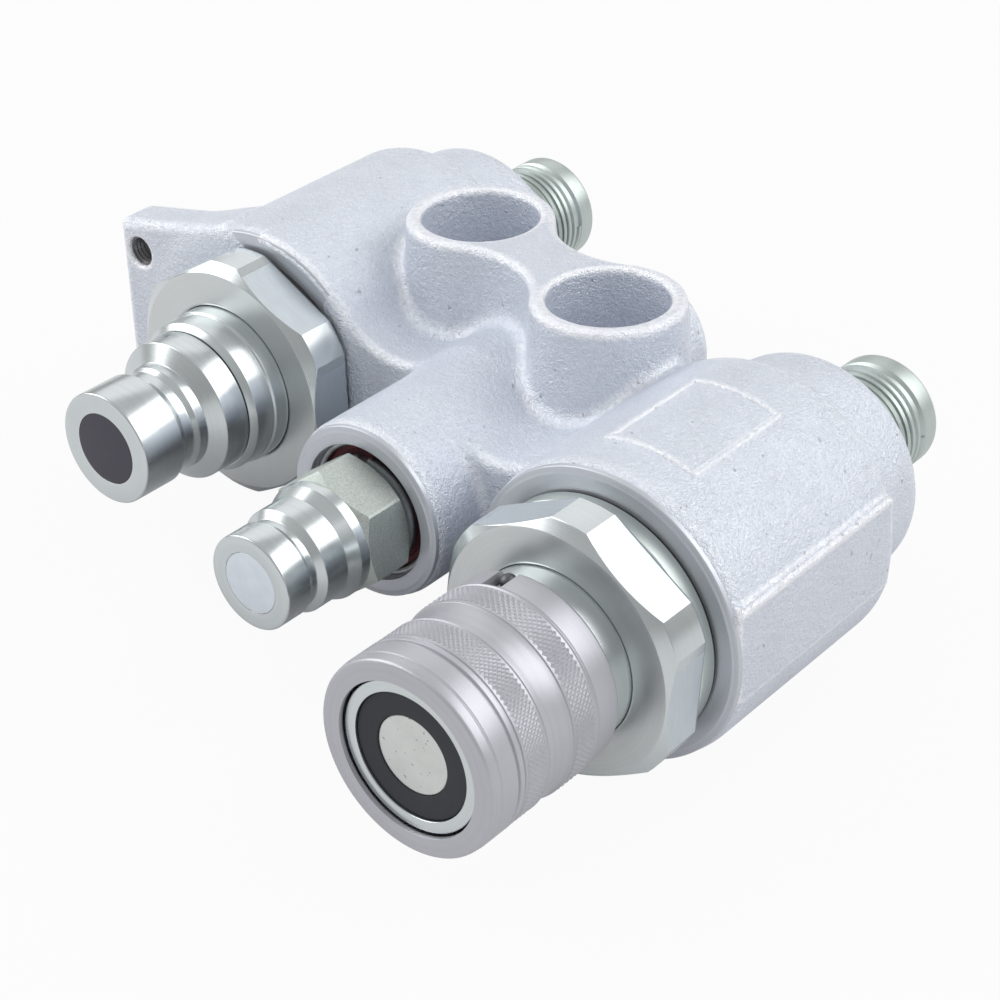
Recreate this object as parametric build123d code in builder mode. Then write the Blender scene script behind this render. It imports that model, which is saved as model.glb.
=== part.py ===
from build123d import *
import os
from math import acos, atan2, cos, hypot, pi, radians, sin, sqrt, tan

# Quick-coupler block: a cast body with two push-in flat-face couplers and a case-drain nipple.
# Millimetres. +X runs from the male to the female coupler, +Y from the coupler faces to the
# hose fittings, +Z up. The origin is the centre of the male coupler's flat face.

# Layout of the three ports
port_pitch = 58.5
male_x = 0.0
drain_x = male_x + port_pitch
female_x = drain_x + port_pitch
male_nut_face = 35.7
coupler_stagger = 36.5
female_nut_face = male_nut_face - coupler_stagger

# Fits and small gaps
running_gap = 0.05
seat_gap = 0.3
edge_break = 0.4
cut_overlap = 2.0

# Retaining nuts
nut_seat_width = 1.7
nut_face_width = 2.3
nut_flat_rise = 0.3
nut_corner_rise = 2.25
nut_chamfer = 1.75
nut_hex_height = 10.25
nut_shank_length = 20.0
nut_gap = 1.1
male_nut_turn = 31.0
female_nut_turn = 25.0
washer_thickness = 3.2
washer_width = 2.1
nut_seal_wire = 1.2

# Cast barrels, rear bosses and the webs between them
barrel_margin = 3.25
barrel_edge = 1.6
male_barrel_length = 56.7
female_barrel_length = 52.8
rear_boss_radius = 24.2
rear_boss_length = 18.4
rear_boss_edge = 2.0
drain_barrel_radius = 18.8
drain_barrel_front = 13.8
drain_barrel_rear = 96.0
drain_barrel_edge = 1.2
drain_boss_radius = 16.0
drain_boss_length = 12.0
web_blend_radius = 18.6
female_web_setback = 13.8
rear_web_end = 82.0

# Vertical bosses with blind pockets, and the neck that ties them
boss_rise = 2.7
boss_radius = 15.7
boss_draft = 3.0
boss_edge = 1.2
pocket_radius = 12.5
pocket_depth = 17.5
pocket_mouth_edge = 0.9
male_side_boss = (35.2, 78.5)
female_side_boss = (79.6, 64.4)
neck_blend_radius = 21.0

# Ear plate with two fixing threads
ear_thickness = 11.0
ear_reach = 43.2
ear_height = 21.6
ear_corner_radius = 4.0
ear_flare_height = 11.0
ear_lower_reach = 50.0
ear_lower_height = 25.0
ear_hole_radius = 3.4
ear_hole_mouth = 0.7
ear_upper_hole = (-37.4, 15.3)
ear_lower_hole = (-41.0, -19.5)

# Flat on the outer side of the female barrel, and the raised bare frame on its top
side_flat_depth = 1.1
side_flat_top = 11.5
side_flat_bottom = 8.0
side_ridge_width = 1.4
side_ridge_height = 0.7
frame_width = 20.1
frame_length = 27.6
frame_setback = 11.5
frame_border = 1.6
frame_relief = 0.45
frame_offset = 1.5

# Sliding cartridges, the same behind both nuts
cartridge_radius = 17.35
flange_rise = 1.95
flange_thickness = 3.0
tail_step = 2.55
tail_length = 14.5
tail_wall = 1.8
cartridge_seal_wire = 0.95
cartridge_seal_place = 17.0
chamber_clearance = 1.5
chamber_depth = 26.5
passage_radius = 9.0
return_spring_rise = 2.6
return_spring_wire = 1.2
return_spring_turns = 5

# Male nipple, half-inch flat-face size
male_tip_radius = 12.25
male_tip_length = 10.2
male_tip_edge = 0.35
male_groove_radius = 10.9
male_groove_start = 12.0
male_groove_end = 14.4
male_foot_radius = 11.6
male_foot_start = 15.6
male_foot_end = 17.8
male_shoulder = 19.8
male_neck_inset = 0.2
male_neck_end = 25.85
male_parting_gap = 0.2
male_collar_drop = 0.55
male_collar_chamfer = 1.2
male_collar_end = 32.0
male_collar_step = 0.5
male_throat_radius = 9.4
male_throat_start = 4.6
male_waist_bore_end = 18.5
male_shank_wall = 2.7
male_shank_step = 1.2
male_shank_length = 10.0
male_valve_radius = 7.8
male_valve_head = 6.0
male_valve_stem = 3.2
male_seat_length = 3.4
male_guide_place = 39.0
male_valve_spring_radius = 5.4
male_valve_spring_wire = 0.7
male_valve_spring_turns = 5

# Case-drain nipple, three-eighths flat-face size
drain_face = -17.8
drain_tip_radius = 9.85
drain_tip_length = 6.0
drain_tip_edge = 0.4
drain_groove_radius = 9.2
drain_groove_start = 7.0
drain_groove_end = 8.4
drain_collar_radius = 10.8
drain_collar_start = 9.6
drain_collar_end = 15.1
drain_neck_radius = 12.0
drain_neck_start = 17.8
drain_neck_end = 20.0
drain_hex_across_flats = 24.0
drain_hex_turn = 36.0
drain_hex_chamfer = 1.3
drain_hex_length = 11.2
drain_shoulder_length = 20.6
drain_shank_radius = 9.0
drain_shank_length = 16.0
drain_bore_radius = 14.6
drain_throat_radius = 7.4
drain_throat_start = 3.6
drain_guide_radius = 7.6
drain_valve_radius = 6.33
drain_valve_head = 4.5
drain_valve_stem = 2.2
drain_seat_length = 2.6
drain_valve_spring_radius = 4.2
drain_valve_spring_wire = 0.6
drain_valve_spring_turns = 9
drain_wire_radius = 0.85
drain_wire_setback = 2.8
drain_wire_lap = 0.6
drain_wire_split = 14.0
drain_seal_length = 3.0
drain_port_radius = 6.45
drain_port_depth = 14.0
drain_passage_radius = 5.0
relief_passage_radius = 3.0
relief_setback = 0.5

# Female coupler, half-inch flat-face size
female_face_reach = 38.84
female_shoulder_width = 2.63
female_lip_wall = 2.37
female_shoulder_place = 29.6
stem_head_radius = 7.7
stem_head_setback = 0.8
stem_head_length = 5.0
stem_radius = 4.6
stem_base_place = 42.6
seal_sleeve_recess = 0.56
seal_sleeve_length = 14.0
seal_sleeve_head = 6.5
seal_sleeve_wall = 1.9
seal_spring_inset = 1.3
seal_spring_wire = 0.65
seal_spring_turns = 7
ball_radius = 2.0
ball_count = 8
ball_setback = 5.3

# Locking sleeve of the female coupler
sleeve_inset = 0.1
sleeve_lead = 1.06
sleeve_front_edge = 0.8
sleeve_lip_gap = 0.33
sleeve_lip_thickness = 1.0
sleeve_wall = 2.2
sleeve_land_step = 0.15
sleeve_land_length = 5.5
sleeve_spring_room = 0.55
sleeve_skirt = 3.0
sleeve_length = 34.0
sleeve_rear_edge = 1.2
sleeve_spring_inset = 1.35
sleeve_spring_wire = 0.6
sleeve_spring_turns = 5
sleeve_groove_places = (6.7, 8.4)
sleeve_groove_width = 0.5
sleeve_groove_depth = 0.35
sleeve_waist_start = 15.0
sleeve_waist_end = 21.2
sleeve_waist_depth = 0.35
sleeve_step_rise = 0.3
sleeve_step_end = 27.5
notch_turn = 13.0
notch_width = 4.2
notch_depth = 5.8
stop_ball_radius = 1.6
stop_ball_place = 1.3

# Hose fittings at the rear
fitting_reach = 24.8
fitting_thread_radius = 12.4
fitting_thread_length = 17.5
fitting_thread_edge = 0.8
fitting_neck_radius = 10.9
fitting_neck_length = 1.6
fitting_hex_across_flats = 26.0
fitting_hex_turn = 10.0
fitting_bore_radius = 7.6
fitting_shank_radius = 10.4
fitting_shank_length = 15.0
fitting_seal_wire = 1.1
fitting_face_groove_radius = 10.0
fitting_face_groove_width = 1.8
fitting_face_groove_depth = 1.2

# Guides that carry the valve stems
guide_thickness = 4.0
guide_hub_wall = 2.0
guide_rim_wall = 1.2
guide_port_count = 6
guide_ring_thickness = 1.2
guide_ring_bite = 0.8
stem_stop_thickness = 3.0
stem_stop_lip = 1.5

# Radii that follow from the cartridge radius, from the bore out to the cast barrel
tail_radius = cartridge_radius - tail_step
guide_radius = tail_radius - tail_wall
flange_radius = cartridge_radius + flange_rise
chamber_radius = flange_radius + chamber_clearance
return_spring_radius = tail_radius + return_spring_rise
nut_shank_radius = chamber_radius + nut_seat_width
nut_face_radius = nut_shank_radius + nut_face_width
nut_across_flats = 2 * (nut_face_radius + nut_flat_rise)
nut_turned_radius = nut_face_radius + nut_corner_rise
washer_radius = nut_shank_radius + washer_width
barrel_radius = nut_turned_radius + barrel_margin
boss_height = barrel_radius + boss_rise
male_collar_radius = cartridge_radius - male_collar_drop
male_collar_lip_radius = male_collar_radius - male_collar_chamfer
male_neck_radius = male_collar_lip_radius - male_neck_inset
male_shank_radius = male_neck_radius - male_shank_step
male_rear_bore_radius = male_shank_radius - male_shank_wall
female_lip_radius = cartridge_radius - female_shoulder_width
female_bore_radius = female_lip_radius - female_lip_wall
seal_sleeve_radius = female_bore_radius - running_gap
seal_sleeve_bore = seal_sleeve_radius - seal_sleeve_wall
seal_spring_radius = seal_sleeve_bore - seal_spring_inset
sleeve_radius = flange_radius - sleeve_inset
sleeve_step_radius = sleeve_radius + sleeve_step_rise
sleeve_waist_radius = sleeve_radius - sleeve_waist_depth
sleeve_lip_radius = female_lip_radius + sleeve_lip_gap
sleeve_land_radius = sleeve_lip_radius + sleeve_land_step
sleeve_recess_radius = sleeve_radius - sleeve_wall
sleeve_spring_bore = cartridge_radius + sleeve_spring_room
sleeve_spring_radius = sleeve_spring_bore - sleeve_spring_inset

# Stations that follow from the values above
male_nut_rear = male_nut_face + nut_hex_height
male_block_face = male_nut_rear + nut_gap
male_shank_end = male_nut_rear + nut_shank_length
female_nut_rear = female_nut_face + nut_hex_height
washer_rear = female_nut_rear + washer_thickness
female_block_face = washer_rear + nut_gap
female_shank_end = female_nut_rear + nut_shank_length
male_barrel_rear = male_block_face + male_barrel_length
female_barrel_rear = female_block_face + female_barrel_length
male_boss_rear = male_barrel_rear + rear_boss_length
female_boss_rear = female_barrel_rear + rear_boss_length
drain_boss_rear = drain_barrel_rear + drain_boss_length
drain_hex_front = drain_face + drain_neck_end
drain_hex_rear = drain_hex_front + drain_hex_length
drain_wire_place = drain_barrel_front + drain_wire_setback
drain_wire_circle = drain_bore_radius - drain_wire_lap
drain_wire_groove = drain_wire_circle + drain_wire_radius + running_gap
drain_seat = drain_hex_rear + drain_shoulder_length
female_face = female_nut_face - female_face_reach
female_shoulder = female_face + female_shoulder_place
nut_bore_radius = cartridge_radius + running_gap
cartridge_bore_radius = guide_radius + running_gap


def across(y):
    """The plane across the ports at station y, seen from the coupler side."""
    return Plane(origin=(0, y, 0), x_dir=(1, 0, 0), z_dir=(0, -1, 0))


def along(x):
    """The plane through the port at x, in which a point is a radius and a station."""
    return Plane(origin=(x, 0, 0), x_dir=(0, 0, 1), z_dir=(-1, 0, 0))


def port(x):
    """The axis of the port at x."""
    return Axis((x, 0, 0), (0, 1, 0))


def outline(x, *points):
    """A closed outline of (radius, station) points, to be turned about the port at x."""
    with BuildSketch(along(x)) as profile:
        with BuildLine():
            Polyline(*points, close=True)
        make_face()
    return profile.sketch


def barrel(x, radius, front, rear, front_edge, rear_edge):
    """The half section of a round barrel with rounded rims."""
    with BuildSketch(along(x)) as profile:
        with BuildLine():
            Polyline((0, front), (radius, front), (radius, rear), (0, rear), close=True)
        make_face()
        fillet(profile.vertices().group_by(Axis.X)[-1].sort_by(Axis.Y)[0], front_edge)
        fillet(profile.vertices().group_by(Axis.X)[-1].sort_by(Axis.Y)[-1], rear_edge)
    return profile.sketch


def wire_section(x, radius, y, wire):
    """The round section of a ring about the port at x."""
    with BuildSketch(along(x)) as profile:
        with Locations((radius, y)):
            Circle(wire)
    return profile.sketch


def bridge(centre_a, radius_a, centre_b, radius_b, blend):
    """The face that joins two circles by two hollow arcs, each tangent to both circles."""
    start = Vector(*centre_a)
    run = Vector(*centre_b) - start
    span = run.length
    forward = run.normalized()
    sideways = Vector(-forward.Y, forward.X)
    reach = (span**2 + (radius_a + blend) ** 2 - (radius_b + blend) ** 2) / (2 * span)
    height = sqrt((radius_a + blend) ** 2 - reach**2)
    with BuildSketch() as face:
        with BuildLine():
            ends = []
            for side in (1, -1):
                centre = start + forward * reach + sideways * (side * height)
                on_a = start + (centre - start).normalized() * radius_a
                on_b = start + run + (centre - start - run).normalized() * radius_b
                ThreePointArc(on_a, centre - sideways * (side * blend), on_b)
                ends.append((on_a, on_b))
            Line(ends[0][0], ends[1][0])
            Line(ends[0][1], ends[1][1])
        make_face()
    return face.sketch


def touch(x, z, radius, side):
    """The point where a line from (x, z) touches the circle of this radius about the origin."""
    angle = atan2(z, x) + side * acos(radius / hypot(x, z))
    return (radius * cos(angle), radius * sin(angle))


def port_cavity(x, block_face, shank_end, boss_rear):
    """The machined hollow of a coupler port, from its front recess to its hose thread."""
    recess = nut_shank_radius + 2 * nut_seal_wire + 2 * running_gap
    recess_floor = block_face + 2 * nut_seal_wire + 4 * running_gap - nut_gap
    socket = nut_shank_radius + running_gap
    chamber_end = shank_end + chamber_depth
    thread = fitting_shank_radius + running_gap
    thread_start = boss_rear - fitting_shank_length - seat_gap
    mouth = fitting_shank_radius + 2 * fitting_seal_wire + 2 * running_gap
    mouth_floor = boss_rear - 2 * fitting_seal_wire - 2 * running_gap
    return outline(
        x,
        (0, block_face - 1),
        (recess, block_face - 1),
        (recess, recess_floor),
        (socket, recess_floor),
        (socket, shank_end),
        (chamber_radius, shank_end),
        (chamber_radius, chamber_end),
        (passage_radius, chamber_end),
        (passage_radius, thread_start),
        (thread, thread_start),
        (thread, mouth_floor),
        (mouth, mouth_floor),
        (mouth, boss_rear + cut_overlap),
        (0, boss_rear + cut_overlap),
    )


def coil_points(x, radius, wire, front, rear, turns, steps=12):
    """The corners of a spring's centre line, which starts and ends inside its two seats."""
    rise = rear - front - 3 * wire
    count = turns * steps
    return [
        (
            x + radius * sin(2 * pi * i / steps),
            front + 1.5 * wire + rise * i / count,
            radius * cos(2 * pi * i / steps),
        )
        for i in range(count + 1)
    ]


def cartridge_tail(front_points, shank_end):
    """A cartridge's outline: its front, the flange that the nut holds in, and the tail."""
    flange = shank_end + seat_gap
    tail = flange + flange_thickness
    return (
        *front_points,
        (cartridge_radius, flange),
        (flange_radius, flange),
        (flange_radius, tail),
        (tail_radius, tail),
        (tail_radius, tail + tail_length),
        (cartridge_bore_radius, tail + tail_length),
    )


def seal_groove(x, place):
    """The groove of a cartridge's seal ring."""
    floor = cartridge_radius - 2 * cartridge_seal_wire
    half = cartridge_seal_wire + running_gap
    return outline(
        x,
        (floor, place - half),
        (cartridge_radius + 1, place - half),
        (cartridge_radius + 1, place + half),
        (floor, place + half),
    )


def retaining_groove(x, place, bore_radius):
    """The groove in a bore for the ring that holds a guide."""
    return outline(
        x,
        (bore_radius - 1, place),
        (bore_radius + guide_ring_bite, place),
        (bore_radius + guide_ring_bite, place + guide_ring_thickness),
        (bore_radius - 1, place + guide_ring_thickness),
    )


def ring_outline(x, guide_front, radius):
    """The ring that sits in the retaining groove, behind a guide of this radius."""
    front = guide_front + guide_thickness + running_gap
    rear = front + guide_ring_thickness - 2 * running_gap
    inner = radius - guide_ring_bite
    outer = radius + guide_ring_bite
    return outline(x, (inner, front), (outer, front), (outer, rear), (inner, rear))


def guide(x, front, radius, stem):
    """A disc with a ring of ports that guides a stem through its middle."""
    with BuildPart() as disc:
        revolve(
            outline(
                x,
                (stem + running_gap, front),
                (radius, front),
                (radius, front + guide_thickness),
                (stem + running_gap, front + guide_thickness),
            ),
            axis=port(x),
        )
        web_inner = stem + guide_hub_wall
        web_outer = radius - guide_rim_wall
        with BuildSketch(across(front)):
            with Locations((x, 0)):
                with PolarLocations((web_inner + web_outer) / 2, guide_port_count):
                    Circle((web_outer - web_inner) / 2)
        extrude(amount=-guide_thickness, mode=Mode.SUBTRACT)
    return disc.part


def valve_outline(x, face, head_radius, head_length, stem, guide_rear):
    """A flat-faced valve: a flush head, a stem through the guide and the stop behind it."""
    stop = guide_rear + seat_gap
    return outline(
        x,
        (0, face),
        (head_radius, face),
        (head_radius, face + head_length),
        (stem, face + head_length),
        (stem, stop),
        (stem + stem_stop_lip, stop),
        (stem + stem_stop_lip, stop + stem_stop_thickness),
        (0, stop + stem_stop_thickness),
    )


def export(piece, name):
    """Label a finished piece and write it to its own file."""
    piece.label = name
    export_step(piece, f"parts/{name}.step")


os.makedirs("parts", exist_ok=True)

# The bare frame that stands proud of the female barrel's crown
frame_centre = (
    female_x + frame_offset,
    female_block_face + frame_setback + frame_length / 2,
)
with BuildPart() as label_frame:
    with BuildSketch(Plane.XY):
        with Locations(frame_centre):
            Rectangle(frame_width, frame_length)
            Rectangle(
                frame_width - 2 * frame_border,
                frame_length - 2 * frame_border,
                mode=Mode.SUBTRACT,
            )
    extrude(amount=2 * barrel_radius)
    with BuildSketch(across(female_block_face)):
        with Locations((female_x, 0)):
            Circle(barrel_radius + frame_relief)
    extrude(amount=-female_barrel_length, mode=Mode.INTERSECT)

# The cast body
foot_growth = boss_height * tan(radians(boss_draft))
ear_flare = (-ear_reach, -ear_flare_height)
ear_top = (-ear_reach, ear_height)
ear_bottom = (-ear_lower_reach, -ear_lower_height)
with BuildPart() as manifold_block:
    revolve(
        barrel(
            male_x,
            barrel_radius,
            male_block_face,
            male_barrel_rear,
            barrel_edge,
            barrel_edge,
        ),
        axis=port(male_x),
    )
    revolve(
        barrel(
            female_x,
            barrel_radius,
            female_block_face,
            female_barrel_rear,
            barrel_edge,
            barrel_edge,
        ),
        axis=port(female_x),
    )
    for x, rear, length in (
        (male_x, male_boss_rear, male_barrel_length),
        (female_x, female_boss_rear, female_barrel_length),
    ):
        front = rear - rear_boss_length - length / 2
        revolve(
            barrel(x, rear_boss_radius, front, rear, rear_boss_edge, rear_boss_edge),
            axis=port(x),
        )
    revolve(
        barrel(
            drain_x,
            drain_barrel_radius,
            drain_barrel_front,
            drain_barrel_rear,
            drain_barrel_edge,
            drain_barrel_edge,
        ),
        axis=port(drain_x),
    )
    revolve(
        barrel(
            drain_x,
            drain_boss_radius,
            drain_barrel_rear - drain_boss_length,
            drain_boss_rear,
            drain_barrel_edge,
            drain_barrel_edge,
        ),
        axis=port(drain_x),
    )
    for x, radius, front, rear in (
        (male_x, barrel_radius, male_block_face, drain_barrel_rear),
        (
            female_x,
            barrel_radius,
            female_block_face + female_web_setback,
            female_barrel_rear - barrel_edge,
        ),
        (female_x, rear_boss_radius, female_barrel_rear - barrel_edge, rear_web_end),
    ):
        with BuildSketch(across(front)):
            add(bridge((x, 0), radius, (drain_x, 0), drain_barrel_radius, web_blend_radius))
        extrude(amount=-(rear - front))
    # The two bosses and their neck, with draft
    with BuildSketch(Plane.XY):
        with Locations(male_side_boss, female_side_boss):
            Circle(boss_radius + foot_growth)
        add(
            bridge(
                male_side_boss,
                boss_radius + foot_growth,
                female_side_boss,
                boss_radius + foot_growth,
                neck_blend_radius - foot_growth,
            )
        )
    extrude(amount=boss_height, taper=boss_draft)
    with BuildSketch(Plane.XY.offset(boss_height)):
        with Locations(male_side_boss, female_side_boss):
            Circle(pocket_radius)
    extrude(amount=-pocket_depth, mode=Mode.SUBTRACT)
    # The ear plate, flush with the face of the male barrel
    with BuildSketch(across(male_block_face)) as ear:
        with BuildLine():
            Polyline(
                (male_x, 0),
                touch(*ear_top, barrel_radius, -1),
                ear_top,
                ear_flare,
                ear_bottom,
                touch(*ear_bottom, barrel_radius, 1),
                close=True,
            )
        make_face()
        fillet(ear.vertices().sort_by_distance(ear_top)[0], ear_corner_radius)
        fillet(ear.vertices().sort_by_distance(ear_bottom)[0], ear_corner_radius)
        fillet(ear.vertices().sort_by_distance(ear_flare)[0], ear_corner_radius)
    extrude(amount=-ear_thickness)
    # The flat on the outer side, with the rough ridge left along its upper edge
    flat_x = female_x + barrel_radius - side_flat_depth
    flat_centre = (side_flat_top - side_flat_bottom) / 2
    flat_height = side_flat_top + side_flat_bottom
    with BuildSketch(across(female_block_face)):
        with Locations((flat_x, flat_centre)):
            Rectangle(
                chamber_radius / 2,
                flat_height,
                align=(Align.MAX, Align.CENTER),
            )
    extrude(amount=-(female_barrel_length - barrel_edge))
    with BuildSketch(across(female_block_face - cut_overlap)):
        with Locations((flat_x, 0)):
            Rectangle(barrel_radius, 2 * barrel_radius, align=(Align.MIN, Align.CENTER))
    extrude(amount=-(female_barrel_length + 2 * cut_overlap), mode=Mode.SUBTRACT)
    with BuildSketch(across(female_block_face + barrel_edge)):
        with Locations((flat_x + side_ridge_height, side_flat_top)):
            Rectangle(
                4 * side_ridge_height,
                side_ridge_width,
                align=(Align.MAX, Align.CENTER),
            )
    extrude(amount=-(female_barrel_length - 2 * barrel_edge))
    add(label_frame.part)
    # Rounded rims of the bosses and pockets
    crown = manifold_block.faces().sort_by(Axis.Z)[-1]
    fillet(crown.outer_wire().edges(), boss_edge)
    mouths = manifold_block.faces().sort_by(Axis.Z)[-1].inner_wires()
    for mouth in mouths:
        fillet(mouth.edges(), pocket_mouth_edge)
    # Machined hollows of the three ports
    revolve(
        port_cavity(male_x, male_block_face, male_shank_end, male_boss_rear),
        axis=port(male_x),
        mode=Mode.SUBTRACT,
    )
    revolve(
        port_cavity(female_x, female_block_face, female_shank_end, female_boss_rear),
        axis=port(female_x),
        mode=Mode.SUBTRACT,
    )
    revolve(
        outline(
            drain_x,
            (0, drain_barrel_front - cut_overlap),
            (drain_bore_radius, drain_barrel_front - cut_overlap),
            (drain_bore_radius, drain_wire_place - drain_wire_radius),
            (drain_wire_groove, drain_wire_place - drain_wire_radius),
            (drain_wire_groove, drain_wire_place + drain_wire_radius),
            (drain_bore_radius, drain_wire_place + drain_wire_radius),
            (drain_bore_radius, drain_seat),
            (drain_shank_radius + running_gap, drain_seat),
            (drain_shank_radius + running_gap, drain_seat + drain_shank_length + seat_gap),
            (drain_passage_radius, drain_seat + drain_shank_length + seat_gap),
            (drain_passage_radius, drain_boss_rear - drain_port_depth),
            (drain_port_radius, drain_boss_rear - drain_port_depth),
            (drain_port_radius, drain_boss_rear + cut_overlap),
            (0, drain_boss_rear + cut_overlap),
        ),
        axis=port(drain_x),
        mode=Mode.SUBTRACT,
    )
    # Relief passages from both coupler chambers to the drain
    for x, chamber_end in (
        (male_x, male_shank_end + chamber_depth),
        (female_x, female_shank_end + chamber_depth),
    ):
        inward = 1 if drain_x > x else -1
        start = (x + inward * (chamber_radius - cut_overlap), chamber_end - relief_passage_radius - relief_setback, 0)
        reach = abs(drain_x - x) - chamber_radius + cut_overlap
        with BuildSketch(Plane(origin=start, z_dir=(inward, 0, 0))):
            Circle(relief_passage_radius)
        extrude(amount=reach, mode=Mode.SUBTRACT)
    # Fixing threads in the ear plate
    with BuildSketch(across(male_block_face)):
        with Locations(ear_upper_hole, ear_lower_hole):
            Circle(ear_hole_radius)
    extrude(amount=-ear_thickness, mode=Mode.SUBTRACT)
    holes = manifold_block.edges().filter_by(GeomType.CIRCLE)
    rims = [
        e
        for e in holes
        if abs(e.radius - ear_hole_radius) < 0.01
        and abs(e.arc_center.Y - male_block_face) < 0.01
    ]
    chamfer(rims, ear_hole_mouth)
export(manifold_block.part, "manifold_block")

# The two retaining nuts
for name, x, face, turn in (
    ("male_retaining_nut", male_x, male_nut_face, male_nut_turn),
    ("female_retaining_nut", female_x, female_nut_face, female_nut_turn),
):
    hex_rear = face + nut_hex_height
    with BuildPart() as retaining_nut:
        with BuildSketch(across(face)):
            with Locations((x, 0)):
                RegularPolygon(nut_across_flats / 2, 6, major_radius=False, rotation=turn)
        extrude(amount=-nut_hex_height)
        revolve(
            outline(
                x,
                (0, face),
                (nut_face_radius, face),
                (nut_turned_radius, face + nut_chamfer),
                (nut_turned_radius, hex_rear),
                (0, hex_rear),
            ),
            axis=port(x),
            mode=Mode.INTERSECT,
        )
        revolve(
            outline(
                x,
                (0, hex_rear - 1),
                (nut_shank_radius, hex_rear - 1),
                (nut_shank_radius, hex_rear + nut_shank_length - edge_break),
                (nut_shank_radius - edge_break, hex_rear + nut_shank_length),
                (0, hex_rear + nut_shank_length),
            ),
            axis=port(x),
        )
        revolve(
            outline(
                x,
                (0, face - 1),
                (nut_bore_radius + edge_break, face - 1),
                (nut_bore_radius + edge_break, face),
                (nut_bore_radius, face + edge_break),
                (nut_bore_radius, hex_rear + nut_shank_length + 1),
                (0, hex_rear + nut_shank_length + 1),
            ),
            axis=port(x),
            mode=Mode.SUBTRACT,
        )
    export(retaining_nut.part, name)

with BuildPart() as female_nut_washer:
    revolve(
        outline(
            female_x,
            (nut_shank_radius + running_gap, female_nut_rear),
            (washer_radius - edge_break, female_nut_rear),
            (washer_radius, female_nut_rear + edge_break),
            (washer_radius, washer_rear - edge_break),
            (washer_radius - edge_break, washer_rear),
            (nut_shank_radius + running_gap, washer_rear),
        ),
        axis=port(female_x),
    )
export(female_nut_washer.part, "female_nut_washer")

with BuildPart() as nut_seal_rings:
    for x, front in ((male_x, male_nut_rear), (female_x, washer_rear)):
        seal_centre = front + running_gap + nut_seal_wire
        seal_radius = nut_shank_radius + running_gap + nut_seal_wire
        revolve(wire_section(x, seal_radius, seal_centre, nut_seal_wire), axis=port(x))
export(nut_seal_rings.part, "nut_seal_rings")

# The male cartridge: a carrier that slides in the nut, and the nipple screwed into it
male_collar_front = male_neck_end + male_parting_gap
male_seal = male_nut_face + cartridge_seal_place
male_shank_rear = male_neck_end + male_shank_length
male_guide_rear = male_guide_place + guide_thickness
with BuildPart() as male_carrier:
    revolve(
        outline(
            male_x,
            *cartridge_tail(
                (
                    (male_shank_radius + running_gap, male_collar_front),
                    (male_collar_lip_radius, male_collar_front),
                    (male_collar_radius, male_collar_front + male_collar_chamfer),
                    (male_collar_radius, male_collar_end),
                    (cartridge_radius, male_collar_end + male_collar_step),
                ),
                male_shank_end,
            ),
            (cartridge_bore_radius, male_guide_place),
            (male_rear_bore_radius, male_guide_place),
            (male_rear_bore_radius, male_shank_rear + seat_gap),
            (male_shank_radius + running_gap, male_shank_rear + seat_gap),
        ),
        axis=port(male_x),
    )
    revolve(seal_groove(male_x, male_seal), axis=port(male_x), mode=Mode.SUBTRACT)
    revolve(
        retaining_groove(male_x, male_guide_rear, cartridge_bore_radius),
        axis=port(male_x),
        mode=Mode.SUBTRACT,
    )
export(male_carrier.part, "male_carrier")

with BuildPart() as male_nipple:
    revolve(
        outline(
            male_x,
            (male_valve_radius + running_gap, 0),
            (male_tip_radius - male_tip_edge, 0),
            (male_tip_radius, male_tip_edge),
            (male_tip_radius, male_tip_length),
            (male_groove_radius, male_groove_start),
            (male_groove_radius, male_groove_end),
            (male_foot_radius, male_foot_start),
            (male_foot_radius, male_foot_end),
            (male_neck_radius, male_shoulder),
            (male_neck_radius, male_neck_end),
            (male_shank_radius, male_neck_end),
            (male_shank_radius, male_shank_rear),
            (male_rear_bore_radius, male_shank_rear),
            (male_rear_bore_radius, male_waist_bore_end + 2),
            (male_throat_radius, male_waist_bore_end),
            (male_throat_radius, male_throat_start),
            (male_valve_radius + running_gap, male_seat_length),
        ),
        axis=port(male_x),
    )
export(male_nipple.part, "male_nipple")

with BuildPart() as male_valve_guide:
    add(guide(male_x, male_guide_place, guide_radius, male_valve_stem))
export(male_valve_guide.part, "male_valve_guide")

with BuildPart() as male_guide_ring:
    revolve(ring_outline(male_x, male_guide_place, guide_radius), axis=port(male_x))
export(male_guide_ring.part, "male_guide_ring")

with BuildPart() as male_valve:
    revolve(
        valve_outline(
            male_x,
            0,
            male_valve_radius,
            male_valve_head,
            male_valve_stem,
            male_guide_rear,
        ),
        axis=port(male_x),
    )
export(male_valve.part, "male_valve")

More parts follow.
